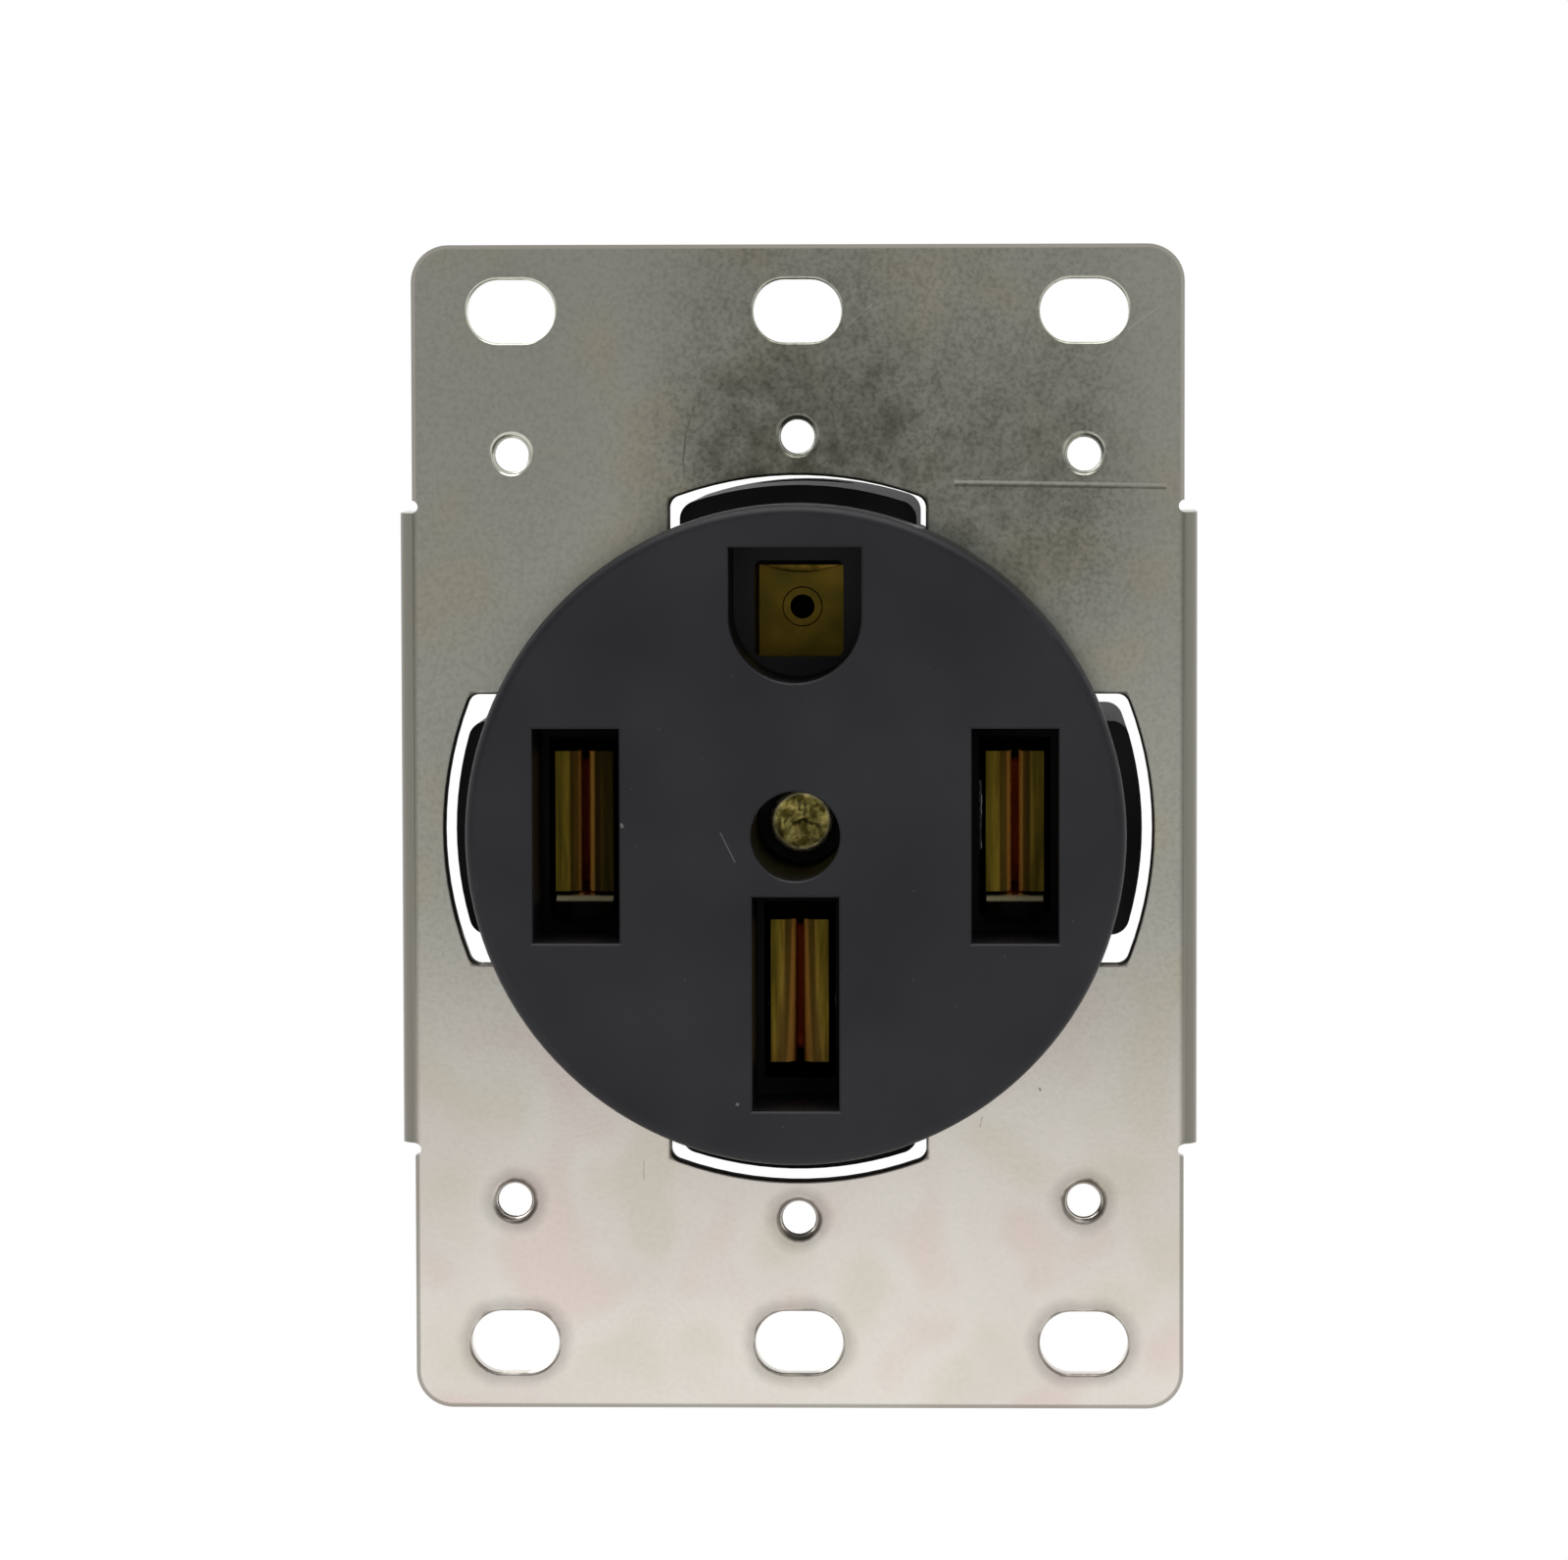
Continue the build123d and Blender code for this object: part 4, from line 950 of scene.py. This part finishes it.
class SOCKET_OT_terminals(bpy.types.Operator):
    """Finish the lugs and turn their four threaded set screws"""

    bl_idname = "socket.terminals"
    bl_label = "Terminals"

    def execute(self, context):
        metal = context.scene.socket.metal
        screw = context.scene.socket.screw
        lugs = plated_finish("plated_aluminium", metal.aluminium, 0.3, (1.0, 0.06, 1.0))
        dress(["line_x_lug", "line_y_lug", "neutral_lug", "ground_lug"], lugs)
        gilt = plated_finish("gilt_set_screw", metal.gilt, 0.26)
        nickel = plated_finish("nickel_set_screw", metal.nickel, 0.22)
        green = plated_finish("green_set_screw", metal.green, 0.3)
        tree = shank_tree()
        rows = SET_SCREW_ROWS * round(screw.shank / screw.pitch)
        top = screw.shank / 2
        low = (-2 * screw.radius, -screw.slot_width / 2, top - screw.slot_depth)
        high = (2 * screw.radius, screw.slot_width / 2, 2 * top)
        for name, turn, material, slot in (
            ("line_x", 180, gilt, "screw_brass"),
            ("line_y", 0, gilt, "screw_brass"),
            ("neutral", 270, nickel, "screw_nickel"),
            ("ground", 90, green, "screw_green"),
        ):
            mesh = grown(
                tree,
                [(0, 0, 0)],
                {
                    "Radius": screw.radius,
                    "Length": screw.shank,
                    "Pitch": screw.pitch,
                    "Depth": screw.depth,
                    "Segments": screw.segments,
                    "Rows": rows,
                    "Material": material,
                },
            )
            mesh = cut(mesh, box_mesh(low, high))
            near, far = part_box(f"{name}_set_screw")
            outward = Vector((cos(radians(turn)), 0, sin(radians(turn))))
            lay_along(mesh, (near + far) / 2, outward)
            shade_by_angle(mesh)
            new_piece(f"{name}_threaded_screw", mesh, [f"{name}_set_screw"])
        return {"FINISHED"}


class SOCKET_OT_assembly_screw(bpy.types.Operator):
    """Turn the long screw with its peened end, thread and slotted head"""

    bl_idname = "socket.assembly_screw"
    bl_label = "Assembly Screw"

    def execute(self, context):
        metal = context.scene.socket.metal
        screw = context.scene.socket.screw
        dress(["screw_washer"], plated_finish("zinc_plated_washer", metal.zinc, 0.3))
        insert = brass_finish("turned_insert_brass", metal.bruise, metal.tarnish_and_shade, 0.4, (1.0, 1.0, 1.0))
        dress(["thread_insert"], insert)
        low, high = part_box("assembly_screw")
        tip = low.y
        seat = high.y - screw.head_height
        parts = [self.peened_end(screw, tip), self.thread(screw, tip, seat), self.head(screw, seat)]
        mesh = joined(parts, peened_finish(metal))
        shade_by_angle(mesh)
        new_piece("peened_assembly_screw", mesh, ["assembly_screw"])
        return {"FINISHED"}

    def peened_end(self, screw, tip):
        """Hammered end: a dented face inside a rolled rim."""
        rings, steps = 14, 5
        roll = 0.35 * MM
        flat = screw.peened_radius - roll
        rows = [(tip + screw.dent, 0.0, 0.7)]
        for ring in range(1, rings + 1):
            rows.append((tip + screw.dent * (1 - ring / rings) * 0.8, flat * ring / rings, 0.7))
        for step in range(1, steps + 1):
            turn = pi / 2 * step / steps
            reach = flat + roll * sin(turn)
            rows.append((tip + roll * (1 - cos(turn)), reach, 0.3 * (1 - step / steps)))
        rows.append((tip + screw.peened, screw.long_radius, 0.0))
        rows.append((tip + 2 * screw.peened, screw.long_radius - screw.depth, 0.0))
        rows.append((tip + 2 * screw.peened, 0.0, 0.0))
        return lathe(rows, TURNED_SEGMENTS, screw.dent)

    def thread(self, screw, tip, seat):
        """Threaded shank from behind the peened end to the head."""
        reach = seat - tip - screw.peened / 2
        mesh = grown(
            shank_tree(),
            [(0, 0, 0)],
            {
                "Radius": screw.long_radius,
                "Length": reach,
                "Pitch": screw.long_pitch,
                "Depth": screw.depth,
                "Segments": LONG_SCREW_SEGMENTS,
                "Rows": LONG_SCREW_ROWS * round(reach / screw.long_pitch),
            },
        )
        lay_along(mesh, (0, seat - reach / 2, 0), Vector((0, 1, 0)))
        return mesh

    def head(self, screw, seat):
        """Round head with a domed edge and a driver slot."""
        steps = 6
        edge = screw.head_height / 2
        rows = [(seat, 0.0, 0.0), (seat, screw.head_radius, 0.0)]
        rows.append((seat + edge, screw.head_radius, 0.0))
        for step in range(1, steps + 1):
            turn = pi / 2 * step / steps
            rows.append((seat + edge + edge * sin(turn), screw.head_radius - edge * (1 - cos(turn)), 0.0))
        rows.append((seat + 2 * edge, 0.0, 0.0))
        slot = box_mesh(
            (-2 * screw.head_radius, seat + edge, -screw.slot_width / 2),
            (2 * screw.head_radius, seat + 3 * edge, screw.slot_width / 2),
        )
        return cut(lathe(rows, TURNED_SEGMENTS), slot)


class SOCKET_OT_stage(bpy.types.Operator):
    """Set the pale floor, the soft lamps and the camera"""

    bl_idname = "socket.stage"
    bl_label = "Studio"

    def execute(self, context):
        settings = context.scene.socket.studio
        scene = context.scene
        scene.view_settings.view_transform = "Standard"
        self.floor(settings)
        self.screen(settings)
        self.world(scene)
        self.lamps()
        self.camera(scene, settings)
        return {"FINISHED"}

    def card(self, name, corners, material):
        """Flat stage piece from its corners."""
        mesh = bpy.data.meshes.new(name)
        mesh.from_pydata(corners, [], [list(range(len(corners)))])
        mesh.materials.append(material)
        piece = linked(name, mesh)
        return piece

    def floor(self, settings):
        """Pale matt floor with the object's shadow, white to camera and metal further away."""
        material, tree, shader, place = new_finish("pale_floor")
        clouds = add(tree, NOISE, {"Vector": place, "Scale": per_mm(60), "Detail": 2.0})
        span = (0.3, 0.7, 0.0, 0.04)
        pale = tinted(tree, settings.floor, settings.screen_foot, clouds, span, smooth=False)
        tree.links.new(pale, shader.inputs["Base Color"])
        shader.inputs["Roughness"].default_value = 0.7
        glow = add(tree, "ShaderNodeEmission", {"Color": (1, 1, 1, 1), "Strength": 1.0})
        away = add(tree, "ShaderNodeVectorMath", (place,), operation="LENGTH")
        reach = settings.shadow_reach
        away = add(tree, RANGE, (away, 0.5 * reach, reach, 0.25, 1.0), interpolation_type=SOFT)
        seen = add(tree, MATH, (self.mirrored(tree), away), operation="MULTIPLY")
        mixed = add(tree, "ShaderNodeMixShader", (seen, shader.outputs[0], glow))
        tree.links.new(mixed, tree.nodes["Material Output"].inputs["Surface"])
        z = -settings.floor_drop
        wide, front, back = 3.0, -settings.floor_front, 6.0
        corners = [(-wide, front, z), (wide, front, z), (wide, back, z), (-wide, back, z)]
        self.card("floor", corners, material)

    def mirrored(self, tree):
        """1 for a ray from the camera, and for one that a mirror or glass has sent on."""
        paths = tree.nodes.new("ShaderNodeLightPath").outputs
        seen = add(tree, MATH, (paths["Is Camera Ray"], paths["Is Glossy Ray"]), operation="MAXIMUM")
        return add(tree, MATH, (seen, paths["Is Transmission Ray"]), operation="MAXIMUM")

    def screen(self, settings):
        """Screen behind the camera, grey above and paler at its foot, seen only in the metal."""
        material = bpy.data.materials.new("grey_screen")
        material.use_nodes = True
        tree = material.node_tree
        tree.nodes.clear()
        place = tree.nodes.new("ShaderNodeTexCoord").outputs["Object"]
        z = add(tree, SPLIT, (place,)).node.outputs["Z"]
        foot = -settings.floor_drop
        span = (foot + 50 * MM, foot, 0.0, 1.0)
        grey = tinted(tree, settings.screen_top, settings.screen_foot, z, span)
        glow = add(tree, "ShaderNodeEmission", {"Color": grey, "Strength": 1.0})
        add(tree, "ShaderNodeOutputMaterial", {"Surface": glow})
        y, wide, top = -settings.floor_front, 1.6, 1.5
        corners = [(-wide, y, foot), (wide, y, foot), (wide, y, top), (-wide, y, top)]
        piece = self.card("screen", corners, material)
        piece.visible_camera = False
        piece.visible_diffuse = False
        piece.visible_shadow = False

    def world(self, scene):
        """Even pale surround, white to the camera and to polished metal."""
        world = bpy.data.worlds.new("studio")
        scene.world = world
        world.use_nodes = True
        tree = world.node_tree
        tree.nodes.clear()
        level = add(tree, RANGE, (self.mirrored(tree), 0.0, 1.0, 0.45, 1.0))
        glow = add(tree, "ShaderNodeBackground", {"Color": (1, 1, 1, 1), "Strength": level})
        add(tree, "ShaderNodeOutputWorld", {"Surface": glow})

    def lamps(self):
        """One wide lamp overhead, a low one in front, and one behind."""
        for name, place, size, energy in (
            ("overhead", (0.0, -0.25, 0.95), 0.9, 5.5),
            ("front_fill", (0.45, -0.9, 0.35), 0.5, 1.2),
            ("rear_fill", (-0.4, 0.8, 0.45), 0.6, 3.5),
        ):
            data = bpy.data.lights.new(name, "AREA")
            data.size = size
            data.energy = energy
            lamp = linked(name, data)
            lamp.location = place
            aim = -Vector(place)
            lamp.rotation_euler = aim.to_track_quat("-Z", "Y").to_euler()

    def camera(self, scene, settings):
        """Long lens a little above and to the right of the centre."""
        data = bpy.data.cameras.new("camera")
        data.sensor_width = 36
        data.lens = settings.lens
        data.clip_start = 0.05
        camera = linked("camera", data)
        place = Matrix.Translation(
            (settings.camera_side, -settings.camera_distance, settings.camera_rise)
        )
        # Turned a little to the left, tipped a little down, and all but level
        turn = Matrix.Rotation(radians(1.80), 4, "Z")
        tilt = Matrix.Rotation(radians(90 - 3.58), 4, "X")
        roll = Matrix.Rotation(radians(-0.13), 4, "Z")
        camera.matrix_world = place @ turn @ tilt @ roll
        scene.camera = camera


class SOCKET_PT_panel(bpy.types.Panel):
    """Lists the pieces and the studio"""

    bl_idname = "SOCKET_PT_panel"
    bl_label = "Socket Outlet"
    bl_space_type = "VIEW_3D"
    bl_region_type = "UI"
    bl_category = "Socket"

    def draw(self, context):
        settings = context.scene.socket
        for group in (settings.strap, settings.moulding, settings.metal, settings.screw, settings.studio):
            box = self.layout.box()
            for key in group.bl_rna.properties.keys():
                if key not in ("rna_type", "name"):
                    box.prop(group, key)
        for operator in OPERATORS:
            self.layout.operator(operator.bl_idname)


OPERATORS = (
    SOCKET_OT_strap,
    SOCKET_OT_mouldings,
    SOCKET_OT_contacts,
    SOCKET_OT_terminals,
    SOCKET_OT_assembly_screw,
    SOCKET_OT_stage,
)
CLASSES = (
    StrapSettings,
    MouldingSettings,
    MetalSettings,
    ScrewSettings,
    StudioSettings,
    SocketSettings,
    *OPERATORS,
    SOCKET_PT_panel,
)


def register():
    """Register the classes and hang the settings on the scene."""
    for item in CLASSES:
        bpy.utils.register_class(item)
    bpy.types.Scene.socket = PointerProperty(type=SocketSettings)


def unregister():
    """Undo register."""
    del bpy.types.Scene.socket
    for item in reversed(CLASSES):
        bpy.utils.unregister_class(item)


def main():
    """Dress every piece in order."""
    register()
    bpy.ops.socket.strap()
    bpy.ops.socket.mouldings()
    bpy.ops.socket.contacts()
    bpy.ops.socket.terminals()
    bpy.ops.socket.assembly_screw()
    bpy.ops.socket.stage()


if __name__ == "__main__":
    main()
